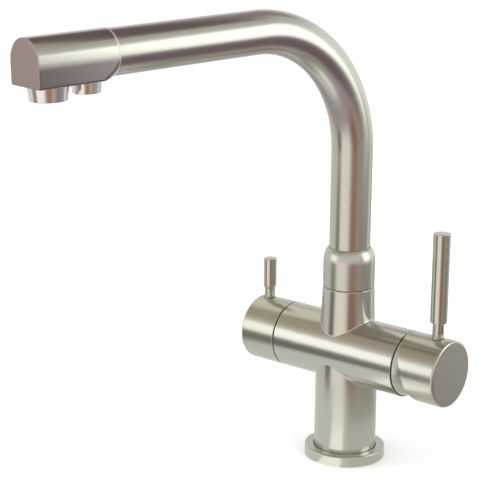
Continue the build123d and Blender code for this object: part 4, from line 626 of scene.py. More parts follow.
# finishes
def brushed_nickel(name, axis, finish, roughness_shift=0.0, shade=(1.0, 1.0, 1.0), flats_shade=None):
    """Satin nickel with fine brush lines round the axis that the piece was turned on; shade scales its
    colour for each piece, and flats_shade paints shade on the spout head's flats.
    """
    _, tree, shader = new_material(name)
    place = add_node(tree, "ShaderNodeTexCoord").outputs["Object"]
    across = [0.0 if letter == axis else BRUSH_ACROSS for letter in "XYZ"]
    scaled = add_node(tree, "ShaderNodeVectorMath", {0: place, 1: across}, operation="MULTIPLY")
    mark = add_node(tree, "ShaderNodeAttribute", attribute_name="brush").outputs["Fac"]
    step = math_node(tree, "MULTIPLY", mark, BRUSH_ALONG)
    along = add_node(tree, "ShaderNodeCombineXYZ", {"X" if axis == "X" else "Z": step})
    places = {0: scaled.outputs[0], 1: along.outputs[0]}
    total = add_node(tree, "ShaderNodeVectorMath", places, operation="ADD").outputs[0]
    lines = noise(tree, total, 1.0, LINE_DETAIL, Roughness=LINE_ROUGHNESS)
    cloud = noise(tree, place, CLOUD_SCALE, CLOUD_DETAIL)
    nickel = Vector([value * part for value, part in zip(finish.nickel, shade)])
    tone = mix_tones(tree, lines, opaque(nickel * (1 - BRUSH_TINT)), opaque(nickel * (1 + BRUSH_TINT)))
    # flats_shade darkens the colour below the spout's axis: painted shade on the flat sides and underside
    # of the head
    if flats_shade:
        depth = add_node(tree, "ShaderNodeAttribute", attribute_name="depth").outputs["Fac"]
        flat = smooth_step(tree, {"Value": depth, "From Min": FLATS_START, "From Max": FLATS_FULL})
        darker = opaque([value * part for value, part in zip(nickel, flats_shade)])
        tone = mix_tones(tree, flat, tone, darker)
    shares = {"Factor": CLOUD_SHARE, "A": lines, "B": cloud}
    mixed = add_node(tree, "ShaderNodeMix", shares, data_type="FLOAT")
    base = finish.roughness + roughness_shift
    spread = {"Value": mixed.outputs["Result"], "From Min": 0.25, "From Max": 0.75}
    spread.update({"To Min": base - BRUSH_ROUGHNESS, "To Max": base + BRUSH_ROUGHNESS})
    rough = add_node(tree, "ShaderNodeMapRange", spread).outputs["Result"]
    set_surface(tree, shader, 1.0, tone, rough, lines, finish.brush_depth)


def plain_surface(name, tone, roughness, metallic, grain_scale, grain_tint, depth):
    """Inner metal, plastic, ceramic or rubber with a fine grain of its own; the same recipe also makes the
    polished chrome, the bead's painted highlight and the near-black painted shade in the gaps.
    """
    _, tree, shader = new_material(name)
    place = add_node(tree, "ShaderNodeTexCoord").outputs["Object"]
    grain = noise(tree, place, grain_scale, GRAIN_DETAIL)
    tone = Vector(tone)
    light = [min(1.0, value * (1 + grain_tint)) for value in tone]
    tint = mix_tones(tree, grain, opaque(tone * (1 - grain_tint)), opaque(light))
    smooth = max(0.02, roughness - GRAIN_ROUGHNESS)
    spread = {"Value": grain, "To Min": smooth, "To Max": roughness + GRAIN_ROUGHNESS}
    rough = add_node(tree, "ShaderNodeMapRange", spread).outputs["Result"]
    set_surface(tree, shader, metallic, tint, rough, grain, depth)


def finishes():
    """Makes each material once and hands it out by name."""
    finish = bpy.context.scene.tap_finish
    made = bpy.data.materials
    if "nickel turned upright" not in made:
        brushed_nickel("nickel turned upright", "Z", finish)
        brushed_nickel("nickel turned level", "X", finish)
        brushed_nickel("nickel handle blocks", "X", finish, 0.03, (0.98, 0.98, 0.96))
        brushed_nickel("nickel collar", "Z", finish, 0.07)
        # the deck ring's nickel is made lighter than the rest: painted light
        brushed_nickel("nickel deck ring", "Z", finish, 0.03, (1.03, 1.03, 1.0))
        brushed_nickel("nickel spout", "ALL", finish, 0.03)
        # the head's flat front gets a darker copy of the nickel: painted shade
        brushed_nickel("nickel spout head front", "ALL", finish, 0.0, (0.60, 0.48, 0.50))
        # the head's flats get painted shade, blended in by their depth under the spout's axis
        brushed_nickel("nickel spout head", "ALL", finish, flats_shade=(0.42, 0.37, 0.42))
        # name, tone, roughness, metallic, grain scale, grain tint, relief
        # pale, almost white metal on the bead: a painted highlight for the bright line at the head's rear
        # edge
        plain_surface("bright bead", (0.92, 0.87, 0.86), 0.42, 1.0, 900.0, 0.02, 0.02)
        # near-black painted shade for faces in the gaps between parts, where the nickel lies in shade
        plain_surface("bare casting", (0.07, 0.06, 0.05), 0.6, 0.0, 900.0, 0.1, 0.1)
        plain_surface("polished chrome", finish.chrome, 0.21, 1.0, 400.0, 0.02, 0.02)
        plain_surface("turned steel", (0.56, 0.56, 0.55), 0.3, 1.0, 900.0, 0.08, 0.1)
        plain_surface("turned brass", (0.78, 0.60, 0.30), 0.28, 1.0, 900.0, 0.08, 0.1)
        plain_surface("alumina ceramic", (0.88, 0.87, 0.83), 0.2, 0.0, 600.0, 0.02, 0.02)
        plain_surface("grey acetal", (0.42, 0.44, 0.47), 0.45, 0.0, 1200.0, 0.05, 0.1)
        plain_surface("white acetal", (0.80, 0.80, 0.78), 0.4, 0.0, 1200.0, 0.03, 0.1)
        plain_surface("white polyethylene", (0.84, 0.84, 0.82), 0.35, 0.0, 300.0, 0.03, 0.05)
        plain_surface("black rubber", (0.03, 0.03, 0.03), 0.6, 0.0, 1500.0, 0.15, 0.2)
    return made


# body casting
def saddle_layout():
    """Angles round a branch, each with its point on the border of the branch's field on the barrel."""
    layout = []
    for i in range(SIDE_STEPS):
        step = i / SIDE_STEPS
        angle = -SADDLE_CORNER + 2 * SADDLE_CORNER * step
        layout.append((angle, SADDLE_REACH, -math.pi / 2 + math.pi * step))
    for i in range(TOP_STEPS):
        step = i / TOP_STEPS
        angle = SADDLE_CORNER + (math.pi - 2 * SADDLE_CORNER) * step
        layout.append((angle, SADDLE_REACH - 2 * SADDLE_REACH * step, math.pi / 2))
    return layout + [(angle + math.pi, -along, -around) for angle, along, around in layout]


def branch(skin, up, branch_radius, barrel, fillet, end_rows):
    """Joins an upright branch to the barrel: up is 1 for the neck and -1 for the column."""
    layout = saddle_layout()

    def on_barrel(along, around):
        y = barrel * math.sin(around)
        z = BARREL_Z + up * barrel * math.cos(around)
        return Vector((along, y, z))

    def saddle_height(radius, angle):
        reach = max(0.0, barrel**2 - (radius * math.sin(angle)) ** 2)
        return BARREL_Z + up * math.sqrt(reach)

    rim, crease, foot = [], [], []
    for angle, _, _ in layout:
        height = saddle_height(branch_radius(BARREL_Z + up * barrel), angle)
        for _ in range(3):
            radius = branch_radius(height)
            height = saddle_height(radius, angle)
        opening = math.acos(min(1.0, radius * math.sin(angle) ** 2 / barrel))
        reach = fillet * math.tan(opening / 2)
        lift = height + up * reach
        rim.append(Vector((*on_circle(branch_radius(lift), angle), lift)))
        crease.append(Vector((*on_circle(radius, angle), height)))
        slant = math.sqrt(max(0.0, 1 - (radius * math.sin(angle) / barrel) ** 2))
        wide = radius + reach * slant
        foot.append((wide * math.cos(angle), math.asin(wide * math.sin(angle) / barrel)))

    # the fillet, and the field round it on the barrel
    rows = []
    for step in range(FILLET_STEPS + 1):
        t = step / FILLET_STEPS
        row = []
        for a, p, b in zip(rim, crease, foot):
            row.append(a * (1 - t) ** 2 + p * (2 * t * (1 - t)) + on_barrel(*b) * t**2)
        rows.append(row)
    for step in range(1, FIELD_STEPS + 1):
        t = step / FIELD_STEPS
        row = []
        for b, (_, along, around) in zip(foot, layout):
            row.append(on_barrel(b[0] + (along - b[0]) * t, b[1] + (around - b[1]) * t))
        rows.append(row)
    made = [skin.row(row, [point.x for point in row]) for row in rows]
    skin.bands(made)

    # the branch itself, from the fillet to its end
    end_radius, end_height = end_rows[0]
    rings = [made[0]]
    for step in range(1, BRANCH_STEPS + 1):
        t = step / BRANCH_STEPS
        row = []
        for point, (angle, _, _) in zip(rim, layout):
            height = point.z + (end_height - point.z) * t
            radius = branch_radius(height) if step < BRANCH_STEPS else end_radius
            row.append(Vector((*on_circle(radius, angle), height)))
        rings.append(skin.row(row, [point.z for point in row]))
    skin.bands(rings)
    turn_on(skin, end_rows, COLUMN_AXES, [angle for angle, _, _ in layout])


def neck_radius(height):
    """The neck narrows slightly upwards."""
    t = max(0.0, min(1.0, (height - NECK_ROOT_Z) / (NECK_TOP_Z - NECK_ROOT_Z)))
    return NECK_ROOT_RADIUS - NECK_EVEN_TAPER * t - NECK_GROWING_TAPER * t * t


def from_barrel(point):
    """Distance of a point from the barrel's axis, in millimetres."""
    return math.hypot(point.y, point.z - BARREL_Z)


class TAP_OT_body_casting(bpy.types.Operator):
    """Column, barrel and neck as one skin with filleted saddles and open bores"""

    bl_idname = "tap.body_casting"
    bl_label = "Body casting"

    def execute(self, context):
        column = size("column_radius")
        barrel = size("barrel_radius")
        fillet = size("saddle_fillet")
        skin = Skin()
        edge_corner = (column, COLUMN_FOOT_Z, CRISP_ROUNDING)
        foot = soften([(column, COLUMN_FOOT_Z + 1.0), edge_corner, *COLUMN_HOLLOW])
        branch(skin, -1, lambda height: column, barrel, fillet, foot)
        top = soften([(neck_radius(NECK_RIM_Z), NECK_RIM_Z), *NECK_TOP])
        branch(skin, 1, neck_radius, barrel, fillet, top)
        for axes, step, rim, end, seats in BARREL_ENDS:
            outline = [(barrel, SADDLE_REACH + step * i) for i in range(4)]
            outline += soften([(barrel, rim), (barrel, end, END_ROUNDING), *seats])
            turn_on(skin, outline, axes, ring_angles(2 * SIDE_STEPS))
        piece = skin.to_object("body_casting", "tap", "nickel turned upright", "tap_body")

        def turned_level(at):
            return abs(from_barrel(at) - barrel) < BARREL_MARGIN or abs(at.x) > column + 1

        def neck_end(at):
            return abs(at.z - NECK_TOP_Z) < SAME_PLACE and math.hypot(at.x, at.y) < NECK_BARE_RADIUS

        def barrel_end(at):
            at_end = abs(at.x + FILTER_END_X) < SAME_PLACE or abs(at.x - MIXER_END_X) < SAME_PLACE
            return at_end and from_barrel(at) < barrel - RIM_MARGIN

        # the neck's top and the barrel's end faces, in the gaps at the collar and at both ends of the
        # barrel, get near-black painted shade
        give_faces(piece, "nickel turned level", turned_level)
        give_faces(piece, "bare casting", neck_end)
        give_faces(piece, "bare casting", barrel_end)
        for angle in PORT_ANGLES:
            place = on_circle(PORT_CIRCLE, math.radians(angle))
            drill(piece, PORT_RADIUS, *[(*place, height) for height in PORT_HEIGHTS])
        drill(piece, *STUD_HOLE)
        drill(piece, *STOP_SCREW_HOLE)
        return {"FINISHED"}


class TAP_OT_base_ring(bpy.types.Operator):
    """Ring on the deck with its softly rounded upper edge"""

    bl_idname = "tap.base_ring"
    bl_label = "Base ring"

    def execute(self, context):
        ring = size("ring_radius")
        height = size("ring_height")
        bore = size("column_radius") + RING_GAP
        outside = [(ring, 0.0, CRISP_ROUNDING), (ring, height, RING_ROUNDING)]
        inside = [(bore, height, SOFT_ROUNDING), (bore, COLUMN_FOOT_Z)]
        outline = soften([*RING_BED[-2:], *outside, *inside, *RING_BED[:-1]], 6)
        turned_piece("deck_ring", outline, COLUMN_AXES, "tap", "nickel deck ring", "base_ring")
        return {"FINISHED"}


class TAP_OT_swivel_collar(bpy.types.Operator):
    """Collar with a domed top at the foot of the spout"""

    bl_idname = "tap.swivel_collar"
    bl_label = "Swivel collar"

    def execute(self, context):
        radius = size("collar_radius")
        tube = size("tube_radius") + TUBE_GAP
        side = [(radius, height) for height in COLLAR_SIDE]
        outline = soften([*COLLAR_BORE, (radius, COLLAR_FOOT_Z, SOFT_ROUNDING), side[0]]) + side[1:]
        outline += [(width * radius / COLLAR_DRAWN_RADIUS, height) for width, height in COLLAR_DOME]
        outline += soften([*COLLAR_SHOULDER, (tube, COLLAR_TOP_Z)])
        outline += [(tube, COLLAR_FLOOR_Z), COLLAR_BORE[0]]
        collar = turned_piece(
            "collar", outline, COLUMN_AXES, "spout", "nickel collar", "swivel_collar", COLLAR_SEGMENTS
        )

        def collar_foot(at):
            return abs(at.z - COLLAR_FOOT_Z) < SAME_PLACE and math.hypot(at.x, at.y) < radius - RIM_MARGIN

        # the collar's foot, in the gap to the neck, gets near-black painted shade
        give_faces(collar, "bare casting", collar_foot)
        return {"FINISHED"}


def spout_rings():
    """Centre, outward direction and passed length of the tube's rings, from foot to tip."""
    rings = []
    rise = BEND_START_Z - COLLAR_FLOOR_Z
    heights = [COLLAR_FLOOR_Z, COLLAR_FLOOR_Z + END_STEP]
    heights += [COLLAR_FLOOR_Z + rise * i / FOOT_STEPS for i in range(1, FOOT_STEPS)]
    for height in heights:
        rings.append((Vector((0, 0, height)), -SPOUT_LEVEL, height))
    centre = SPOUT_LEVEL * BEND_RADIUS + Vector((0, 0, BEND_START_Z))
    for i in range(BEND_STEPS + 1):
        angle = BEND_TURN * i / BEND_STEPS
        out = -SPOUT_LEVEL * math.cos(angle) + Vector((0, 0, math.sin(angle)))
        rings.append((centre + out * BEND_RADIUS, out, BEND_START_Z + BEND_RADIUS * angle))
    bend_end = BEND_RADIUS * (1 - math.cos(BEND_TURN)) / math.cos(SPOUT_SLOPE)
    places = [bend_end + (HEAD_START - bend_end) * i / TIP_STEPS for i in range(1, TIP_STEPS)]
    for along in (*places, HEAD_START - END_STEP, HEAD_START):
        passed = BEND_START_Z + BEND_RADIUS * BEND_TURN + along - bend_end
        rings.append((on_spout(along), SPOUT_UP, passed))
    return rings


class TAP_OT_spout_tube(bpy.types.Operator):
    """Spout tube with its large bend, open at both ends"""

    bl_idname = "tap.spout_tube"
    bl_label = "Spout tube"

    def execute(self, context):
        outer = size("tube_radius")
        angles = ring_angles(TUBE_SEGMENTS)
        skin = Skin()
        walls = []
        for radius in (outer - TUBE_INSET, outer - TUBE_WALL):
            rows = []
            for centre, out, passed in spout_rings():
                spokes = [out * math.cos(a) + SPOUT_SIDE * math.sin(a) for a in angles]
                rows.append(skin.row([centre + spoke * radius for spoke in spokes], passed))
            skin.bands(rows)
            walls.append(rows)
        for end in (0, -1):
            skin.band(walls[0][end], walls[1][end])
        skin.to_object("tube", "spout", "nickel spout", "spout_tube")
        return {"FINISHED"}


def head_outline(half_width, arch_steps=64, side_steps=14, floor_steps=26, corner_steps=6):
    """Arch outline of the head as (side, up) points, evenly dense for clean shading."""
    straight = HEAD_DEPTH - HEAD_CORNER
    floor = half_width - HEAD_CORNER

    def corner(side, first):
        centre = Vector((side, -straight))
        turns = [first + math.pi / 2 * i / corner_steps for i in range(corner_steps + 1)]
        return [centre + Vector(on_circle(HEAD_CORNER, turn)) for turn in turns]

    points = [Vector(on_circle(half_width, math.pi * i / arch_steps)) for i in range(arch_steps + 1)]
    points += [Vector((-half_width, -straight * i / side_steps)) for i in range(1, side_steps)]
    points += corner(-floor, math.pi)
    points += [Vector((-floor + 2 * floor * i / floor_steps, -HEAD_DEPTH)) for i in range(1, floor_steps)]
    points += corner(floor, 1.5 * math.pi)
    points += [Vector((half_width, -straight * (1 - i / side_steps))) for i in range(1, side_steps)]
    return points


def flare_radius(along):
    """Radius of the turned shape that takes the rear lower corners off the head."""
    t = max(0.0, (along - FLARE_START) / FLARE_LENGTH)
    if t >= 1:
        return FLARE_RADIUS + FLARE_GROWTH + (t - 1) * FLARE_LENGTH * FLARE_SLOPE
    return FLARE_RADIUS + FLARE_GROWTH * ((1 + FLARE_BULGE) * t - FLARE_BULGE * t * t)


class TAP_OT_spout_head(bpy.types.Operator):
    """Arched spout head with its flat front and trimmed rear corners"""

    bl_idname = "tap.spout_head"
    bl_label = "Spout head"

    def execute(self, context):
        half = size("head_half_width")
        outline = head_outline(half)
        skin = Skin()
        rows = []

        def add_row(along, inset=0.0, limit=math.inf):
            points = []
            for corner in outline:
                point = corner * (1 - inset / half)
                point = point * min(1.0, limit / point.length)
                points.append(on_spout(along, point.x, point.y))
            rows.append(skin.row(points, along))

        add_row(HEAD_START, limit=HEAD_SOCKET)
        for along, limit in HEAD_BEAD:
            add_row(along, limit=limit)
        first, last = FLARE_ROWS
        for i in range(FLARE_STEPS + 1):
            along = first + (last - first) * i / FLARE_STEPS
            add_row(along, limit=flare_radius(along))
        for along in HEAD_ROWS:
            add_row(along)
        for angle in (0, 30, 60, 90):
            out, ahead = on_circle(HEAD_EDGE, math.radians(angle))
            add_row(HEAD_END - HEAD_EDGE + ahead, inset=HEAD_EDGE - out)
        for inset in FRONT_INSETS:
            add_row(HEAD_END, inset=inset)
        skin.bands(rows)
        skin.cap(rows[-1], skin.add(on_spout(HEAD_END), HEAD_END))
        skin.cap(rows[0], skin.add(on_spout(HEAD_START), HEAD_START))
        head = skin.to_object("head", "spout", "nickel spout head", "spout_head")

        def place_along(at):
            return (at - SPOUT_ORIGIN).dot(SPOUT_ALONG)

        # the front face gets the darker nickel: painted shade
        give_faces(head, "nickel spout head front", lambda at: place_along(at) > HEAD_END - SAME_PLACE)
        # the bead's faces get the pale painted highlight
        give_faces(head, "bright bead", lambda at: place_along(at) < BEAD_HIGHLIGHT_END)
        # depth under the spout's axis, which blends in the painted shade on the flats
        depth = head.data.attributes.new("depth", "FLOAT", "POINT")
        for mark, point in zip(depth.data, head.data.vertices):
            mark.value = -(point.co / MM - SPOUT_ORIGIN).dot(SPOUT_UP)
        return {"FINISHED"}


class TAP_OT_outlets(bpy.types.Operator):
    """Polished housings of the mixed and the filtered water outlet"""

    bl_idname = "tap.outlets"
    bl_label = "Outlets"

    def execute(self, context):
        thread_top, top_height = OUTLET_HEIGHTS
        for name, node, along, thread, top, end, bore, drop in OUTLETS:
            axes = axis_frame(on_spout(along), SPOUT_ALONG, SPOUT_UP)
            lip = bore - OUTLET_LIP
            lip_top = OUTLET_LIP_HEIGHT - drop
            corners = [(bore, thread_top), (thread, thread_top), (thread, top_height)]
            corners += [(top, top_height, CRISP_ROUNDING), (end, -drop, END_ROUNDING)]
            corners += [(lip, -drop, CRISP_ROUNDING), (lip, lip_top), (bore, lip_top), (bore, thread_top)]
            outline = soften(corners, 5)
            turned_piece(name, outline, axes, "spout", "polished chrome", node, 128)
        return {"FINISHED"}


class TAP_OT_dome_ring(bpy.types.Operator):
    """Ball-shaped ring between the barrel and the mixer handle"""

    bl_idname = "tap.dome_ring"
    bl_label = "Dome ring"

    def execute(self, context):
        balls = (DOME_BALL, DOME_BALL - DOME_WALL)
        outline = [*DOME_SLEEVE[2:]]
        outline += arc_rows(PIVOT_X, balls[0], *DOME_OUTSIDE, 24)
        outline += [(DOME_BORE, PIVOT_X + math.sqrt(ball**2 - DOME_BORE**2)) for ball in balls]
        outline += arc_rows(PIVOT_X, balls[1], *DOME_INSIDE, 14)
        outline += DOME_SLEEVE[:3]
        turned_piece("ball_ring", outline, MIXER_AXES, "tap", "nickel turned level", "dome_ring")
        return {"FINISHED"}


def add_lever(block, name, outline, along, body, node):
    """Drills the lever's hole in its block and sets the lever in it."""
    drill(block, outline[1][0] + LEVER_GAP, (along, 0, LEVER_FOOT_Z), (along, 0, LEVER_HOLE_END_Z))
    axes = Matrix.Translation(Vector((along, 0, 0)))
    turned_piece(name, soften(outline), axes, body, "nickel turned upright", node, 96)


class TAP_OT_mixer_handle(bpy.types.Operator):
    """Mixer handle: slanted block with its ball-shaped hollow, and the long lever"""

    bl_idname = "tap.mixer_handle"
    bl_label = "Mixer handle"

    def execute(self, context):
        radius = size("mixer_hub_radius")
        rim = size("rim_rounding")
        angles = ring_angles(192)
        normal = Vector((math.cos(MIXER_SLANT), 0, math.sin(MIXER_SLANT)))
        upward = Vector((-math.sin(MIXER_SLANT), 0, math.cos(MIXER_SLANT)))
        middle = Vector((MIXER_CUT_X, 0, BARREL_Z))
        pivot = Vector((PIVOT_X, 0, BARREL_Z))
        skin = Skin()
        rows = []

        def add_row(points, brush=None):
            rows.append(skin.row(points, brush or [point.x for point in points]))

        def across(x, reach, angle):
            return Vector((x, reach * math.cos(angle), BARREL_Z + reach * math.sin(angle)))

        # slanted back, side, rim and face
        inset = radius - MIXER_BREAK
        back = []
        for a in angles:
            rise = upward * (inset * math.sin(a) / math.cos(MIXER_SLANT))
            back.append(middle + Vector((0, inset * math.cos(a), 0)) + rise)
        add_row(back)
        for place in MIXER_SIDE:
            side = []
            for a in angles:
                start = MIXER_CUT_X - radius * math.sin(a) * math.tan(MIXER_SLANT) + MIXER_BREAK
                side.append(across(start + (MIXER_FACE_X - rim - start) * place, radius, a))
            add_row(side)
        for i in range(1, MIXER_RIM_STEPS + 1):
            out, ahead = on_circle(rim, math.pi / 2 * i / MIXER_RIM_STEPS)
            add_row([across(MIXER_FACE_X - rim + ahead, radius - rim + out, a) for a in angles])
        for reach in (radius - rim - MIXER_FACE_STEP, *FACE_RINGS):
            add_row([across(MIXER_FACE_X, reach, a) for a in angles], MIXER_FACE_X + (radius - reach))
        skin.bands(rows)
        skin.cap(rows[-1], skin.add((MIXER_FACE_X, 0, BARREL_Z), MIXER_FACE_X + radius))

        # hollow, from its mouth in the slanted back
        opening = math.acos((middle - pivot).dot(normal) / MIXER_BALL)
        rows = [rows[0]]
        for i in range(MIXER_BALL_STEPS):
            deep, wide = on_circle(MIXER_BALL, opening * (1 - i / MIXER_BALL_STEPS))
            spokes = [Vector((0, math.cos(a), 0)) + upward * math.sin(a) for a in angles]
            add_row([pivot + normal * deep + spoke * wide for spoke in spokes])
        skin.bands(rows)
        skin.cap(rows[-1], skin.add(pivot + normal * MIXER_BALL, PIVOT_X + MIXER_BALL))
        block = skin.to_object("mixer_block", "mixer_handle", "nickel handle blocks", "mixer_hub")
        add_lever(block, "mixer_lever_rod", MIXER_LEVER, MIXER_LEVER_X, "mixer_handle", "mixer_lever")
        ahead = Vector((math.cos(TILT_AT_REST), 0, math.sin(TILT_AT_REST)))
        down = Vector((math.sin(TILT_AT_REST), 0, -math.cos(TILT_AT_REST)))
        screw = pivot + ahead * MIXER_SCREW_REACH
        drill(block, MIXER_SCREW_RADIUS, *[screw + down * depth for depth in MIXER_SCREW_HOLE])
        return {"FINISHED"}


class TAP_OT_filter_handle(bpy.types.Operator):
    """Filter handle: round block flush with the barrel, and the short lever"""

    bl_idname = "tap.filter_handle"
    bl_label = "Filter handle"

    def execute(self, context):
        radius = size("filter_hub_radius")
        rim = size("rim_rounding")
        side = [(radius, along) for along in FILTER_SIDE]
        face = [(reach, FILTER_FACE_X) for reach in (*FACE_RINGS, 0.0)]
        outline = soften([*FILTER_BACK, (radius, FILTER_BACK_X, SOFT_ROUNDING), side[0]])
        outline += soften([*side[1:], (radius, FILTER_FACE_X, rim), *face], 8)
        block = turned_piece(
            "filter_block", outline, FILTER_AXES, "filter_handle", "nickel handle blocks", "filter_hub"
        )
        # the block's back, in the gap to the barrel, gets near-black painted shade
        give_faces(block, "bare casting", lambda at: at.x > FILTER_GAP_SHADE_X)
        add_lever(block, "filter_lever_rod", FILTER_LEVER, FILTER_LEVER_X, "filter_handle", "filter_lever")
        drill(block, *FILTER_SCREW_HOLE)
        return {"FINISHED"}


class TAP_OT_valve_ring(bpy.types.Operator):
    """O-ring of the filter valve's spindle, as it lies pressed in its bore"""

    bl_idname = "tap.valve_ring"
    bl_label = "Valve ring"

    def execute(self, context):
        section = []
        for i in range(25):
            out, along = on_circle(VALVE_RING_SECTION, math.tau * i / 24)
            section.append((VALVE_RING_RADIUS + out, VALVE_RING_X + along))
        turned_piece(
            "valve_ring", section, FILTER_AXES, "filter_handle", "black rubber", "filter_spindle_ring",
            96,
        )
        return {"FINISHED"}


SLOT_FINISHES = {
    "satin_nickel": "nickel turned upright",
    "polished_chrome": "polished chrome",
    "plain_steel": "turned steel",
    "brass": "turned brass",
    "ceramic": "alumina ceramic",
    "grey_acetal": "grey acetal",
    "white_acetal": "white acetal",
    "white_polyethylene": "white polyethylene",
    "black_rubber": "black rubber",
}


class TAP_OT_inner_pieces(bpy.types.Operator):
    """Finishes of the cartridge, valve, swivel and seal solids"""

    bl_idname = "tap.inner_pieces"
    bl_label = "Inner pieces"

    def execute(self, context):
        made = finishes()
        slots = {part["node"]: part["material_slot"] for part in frame["record"]["subparts"]}
        for node, piece in frame["nodes"].items():
            material = made[SLOT_FINISHES[slots[node]]]
            for place in piece.material_slots:
                place.material = material
        return {"FINISHED"}


# studio
def put(thing, place, target):
    """Sets a lamp or a card in its place and turns it towards its target."""
    thing.location = place
    thing.rotation_euler = (Vector(target) - Vector(place)).to_track_quat("-Z", "Y").to_euler()
    bpy.context.scene.collection.objects.link(thing)


def area_lamp(name, place, target, width, height, watts, tone=(1, 1, 1), in_metal=False):
    """Lamp for the matt surfaces, or a soft box that only the metal shows."""
    lamp = bpy.data.lights.new(name, "AREA")
    lamp.shape = "RECTANGLE"
    lamp.size = width
    lamp.size_y = height
    lamp.energy = watts
    lamp.color = tone
    holder = bpy.data.objects.new(name, lamp)
    put(holder, place, target)
    holder.visible_camera = False
    holder.visible_glossy = in_metal
    holder.visible_diffuse = not in_metal
    holder.visible_transmission = not in_metal


def soft_box(name, place, tone, strength):
    """Upright soft box, placed by azimuth, distance, half width, lower and upper edge."""
    azimuth, distance, half_width, low, high = place
    height = (low + high) / 2 * MM
    turn = math.radians(azimuth)
    spot = Vector((math.sin(turn), -math.cos(turn), 0)) * distance * MM
    wide = 2 * half_width * MM
    tall = (high - low) * MM
    watts = strength * math.pi * wide * tall
    area_lamp(name, spot + Vector((0, 0, height)), (0, 0, height), wide, tall, watts, tone, True)


def edge(tree, distance, reach, softness):
    """1 inside the reach, 0 outside it, with a soft border."""
    limits = {"Value": distance, "From Min": reach + softness, "From Max": max(0.0, reach - softness)}
    return smooth_step(tree, limits)


def panel_mask(tree, direction, height, place):
    """Where a panel is seen: azimuth and elevation of its middle, half sizes and border in degrees."""
    azimuth, elevation, half_width, half_height, softness = [math.radians(value) for value in place]
    parts = []
    for axis in ((math.cos(azimuth), math.sin(azimuth), 0), (math.sin(azimuth), -math.cos(azimuth), 0)):
        part = add_node(tree, "ShaderNodeVectorMath", {0: direction, 1: axis}, operation="DOT_PRODUCT")
        parts.append(part.outputs["Value"])
    turn = math_node(tree, "ARCTAN2", *parts)
    across = edge(tree, math_node(tree, "ABSOLUTE", turn), half_width, softness)
    away = math_node(tree, "ABSOLUTE", math_node(tree, "SUBTRACT", height, elevation))
    return math_node(tree, "MULTIPLY", across, edge(tree, away, half_height, softness))


def lay_panels(tree, seen, panels, direction, height):
    """Lays panels over a colour or colour socket, one after the other, and returns the last result."""
    for place, tone, strength in panels:
        mask = panel_mask(tree, direction, height, place)
        seen = mix_tones(tree, mask, seen, opaque([value * strength for value in tone]))
    return seen


def light_paths(tree):
    """Rays that reach a surface through the metal's shine, and those that the camera sends itself."""
    path = add_node(tree, "ShaderNodeLightPath").outputs
    seen = math_node(tree, "MAXIMUM", path["Is Camera Ray"], path["Is Transmission Ray"])
    return path["Is Glossy Ray"], seen


def studio_world(scene):
    """White backdrop for the camera, even light on matt surfaces, room and panels for the metal."""
    world = bpy.data.worlds.new("studio")
    scene.world = world
    world.use_nodes = True
    tree = world.node_tree
    tree.nodes.clear()
    direction = add_node(tree, "ShaderNodeTexCoord").outputs["Generated"]
    split = add_node(tree, "ShaderNodeSeparateXYZ", {0: direction})
    height = math_node(tree, "ARCSINE", split.outputs["Z"])
    half_turns = math_node(tree, "MULTIPLY_ADD", height, 1 / math.pi, 0.5)
    room = add_node(tree, "ShaderNodeValToRGB", {"Fac": half_turns})
    stops = room.color_ramp.elements
    stops.remove(stops[0])
    for number, (elevation, tone) in enumerate(ROOM_TONES):
        at = (elevation + 90) / 180
        stop = stops.new(at) if number else stops[0]
        stop.position = at
        stop.color = opaque(tone)
    metal = lay_panels(tree, room.outputs["Color"], STUDIO_PANELS, direction, height)
    backgrounds = []
    for tone in (opaque(scene.tap_studio.light_colour), metal, opaque((1, 1, 1))):
        backgrounds.append(add_node(tree, "ShaderNodeBackground", {"Color": tone}).outputs[0])
    glossy, seen = light_paths(tree)
    lit = mix_shaders(tree, glossy, backgrounds[0], backgrounds[1])
    add_node(tree, "ShaderNodeOutputWorld", {"Surface": mix_shaders(tree, seen, lit, backgrounds[2])})


def new_sheet(name, width, height):
    """Flat sheet with its own material, in metres; gives the sheet, its shader tree and its shader."""
    mesh = bpy.data.meshes.new(name)
    corners = [(x * width / 2, y * height / 2, 0) for x, y in ((-1, -1), (1, -1), (1, 1), (-1, 1))]
    mesh.from_pydata(corners, [], [(0, 1, 2, 3)])
    material, tree, shader = new_material(name)
    mesh.materials.append(material)
    return bpy.data.objects.new(name, mesh), tree, shader


def show(tree, surface):
    tree.links.new(surface, tree.nodes["Material Output"].inputs["Surface"])


def dark_flag(place, target, width, height):
    """Dark card over the spout head, which only the metal shows."""
    flag, tree, _ = new_sheet("flag", width, height)
    put(flag, place, target)
    show(tree, glow(tree, opaque(FLAG_TONE)))
    flag.visible_camera = False
    flag.visible_diffuse = False
    flag.visible_transmission = False
    flag.visible_shadow = False


def studio_floor(scene):
    """White sheet; in the metal only its lit middle shows, and the room beyond it."""
    floor, tree, shader = new_sheet("floor", FLOOR_SIZE * MM, FLOOR_SIZE * MM)
    scene.collection.objects.link(floor)
    shader.inputs["Base Color"].default_value = opaque(scene.tap_studio.floor_colour)
    shader.inputs["Roughness"].default_value = FLOOR_ROUGHNESS
    place = add_node(tree, "ShaderNodeTexCoord").outputs["Object"]
    radius = add_node(tree, "ShaderNodeVectorMath", {0: place}, operation="LENGTH").outputs["Value"]
    lit = edge(tree, radius, LIT_FLOOR_RADIUS * MM, LIT_FLOOR_BORDER * MM)
    away = math_node(tree, "MULTIPLY", radius, math.radians(1) / MM)
    tone = lay_panels(tree, opaque(LIT_FLOOR_TONE), FLOOR_CARDS, place, away)
    beyond = add_node(tree, "ShaderNodeBsdfTransparent").outputs[0]
    shiny = mix_shaders(tree, lit, beyond, glow(tree, tone))
    glossy, seen = light_paths(tree)
    white = glow(tree, opaque((1, 1, 1)), math_node(tree, "MULTIPLY", seen, FLOOR_WHITE))
    matt = add_node(tree, "ShaderNodeAddShader", {0: shader.outputs[0], 1: white}).outputs[0]
    show(tree, mix_shaders(tree, glossy, matt, shiny))


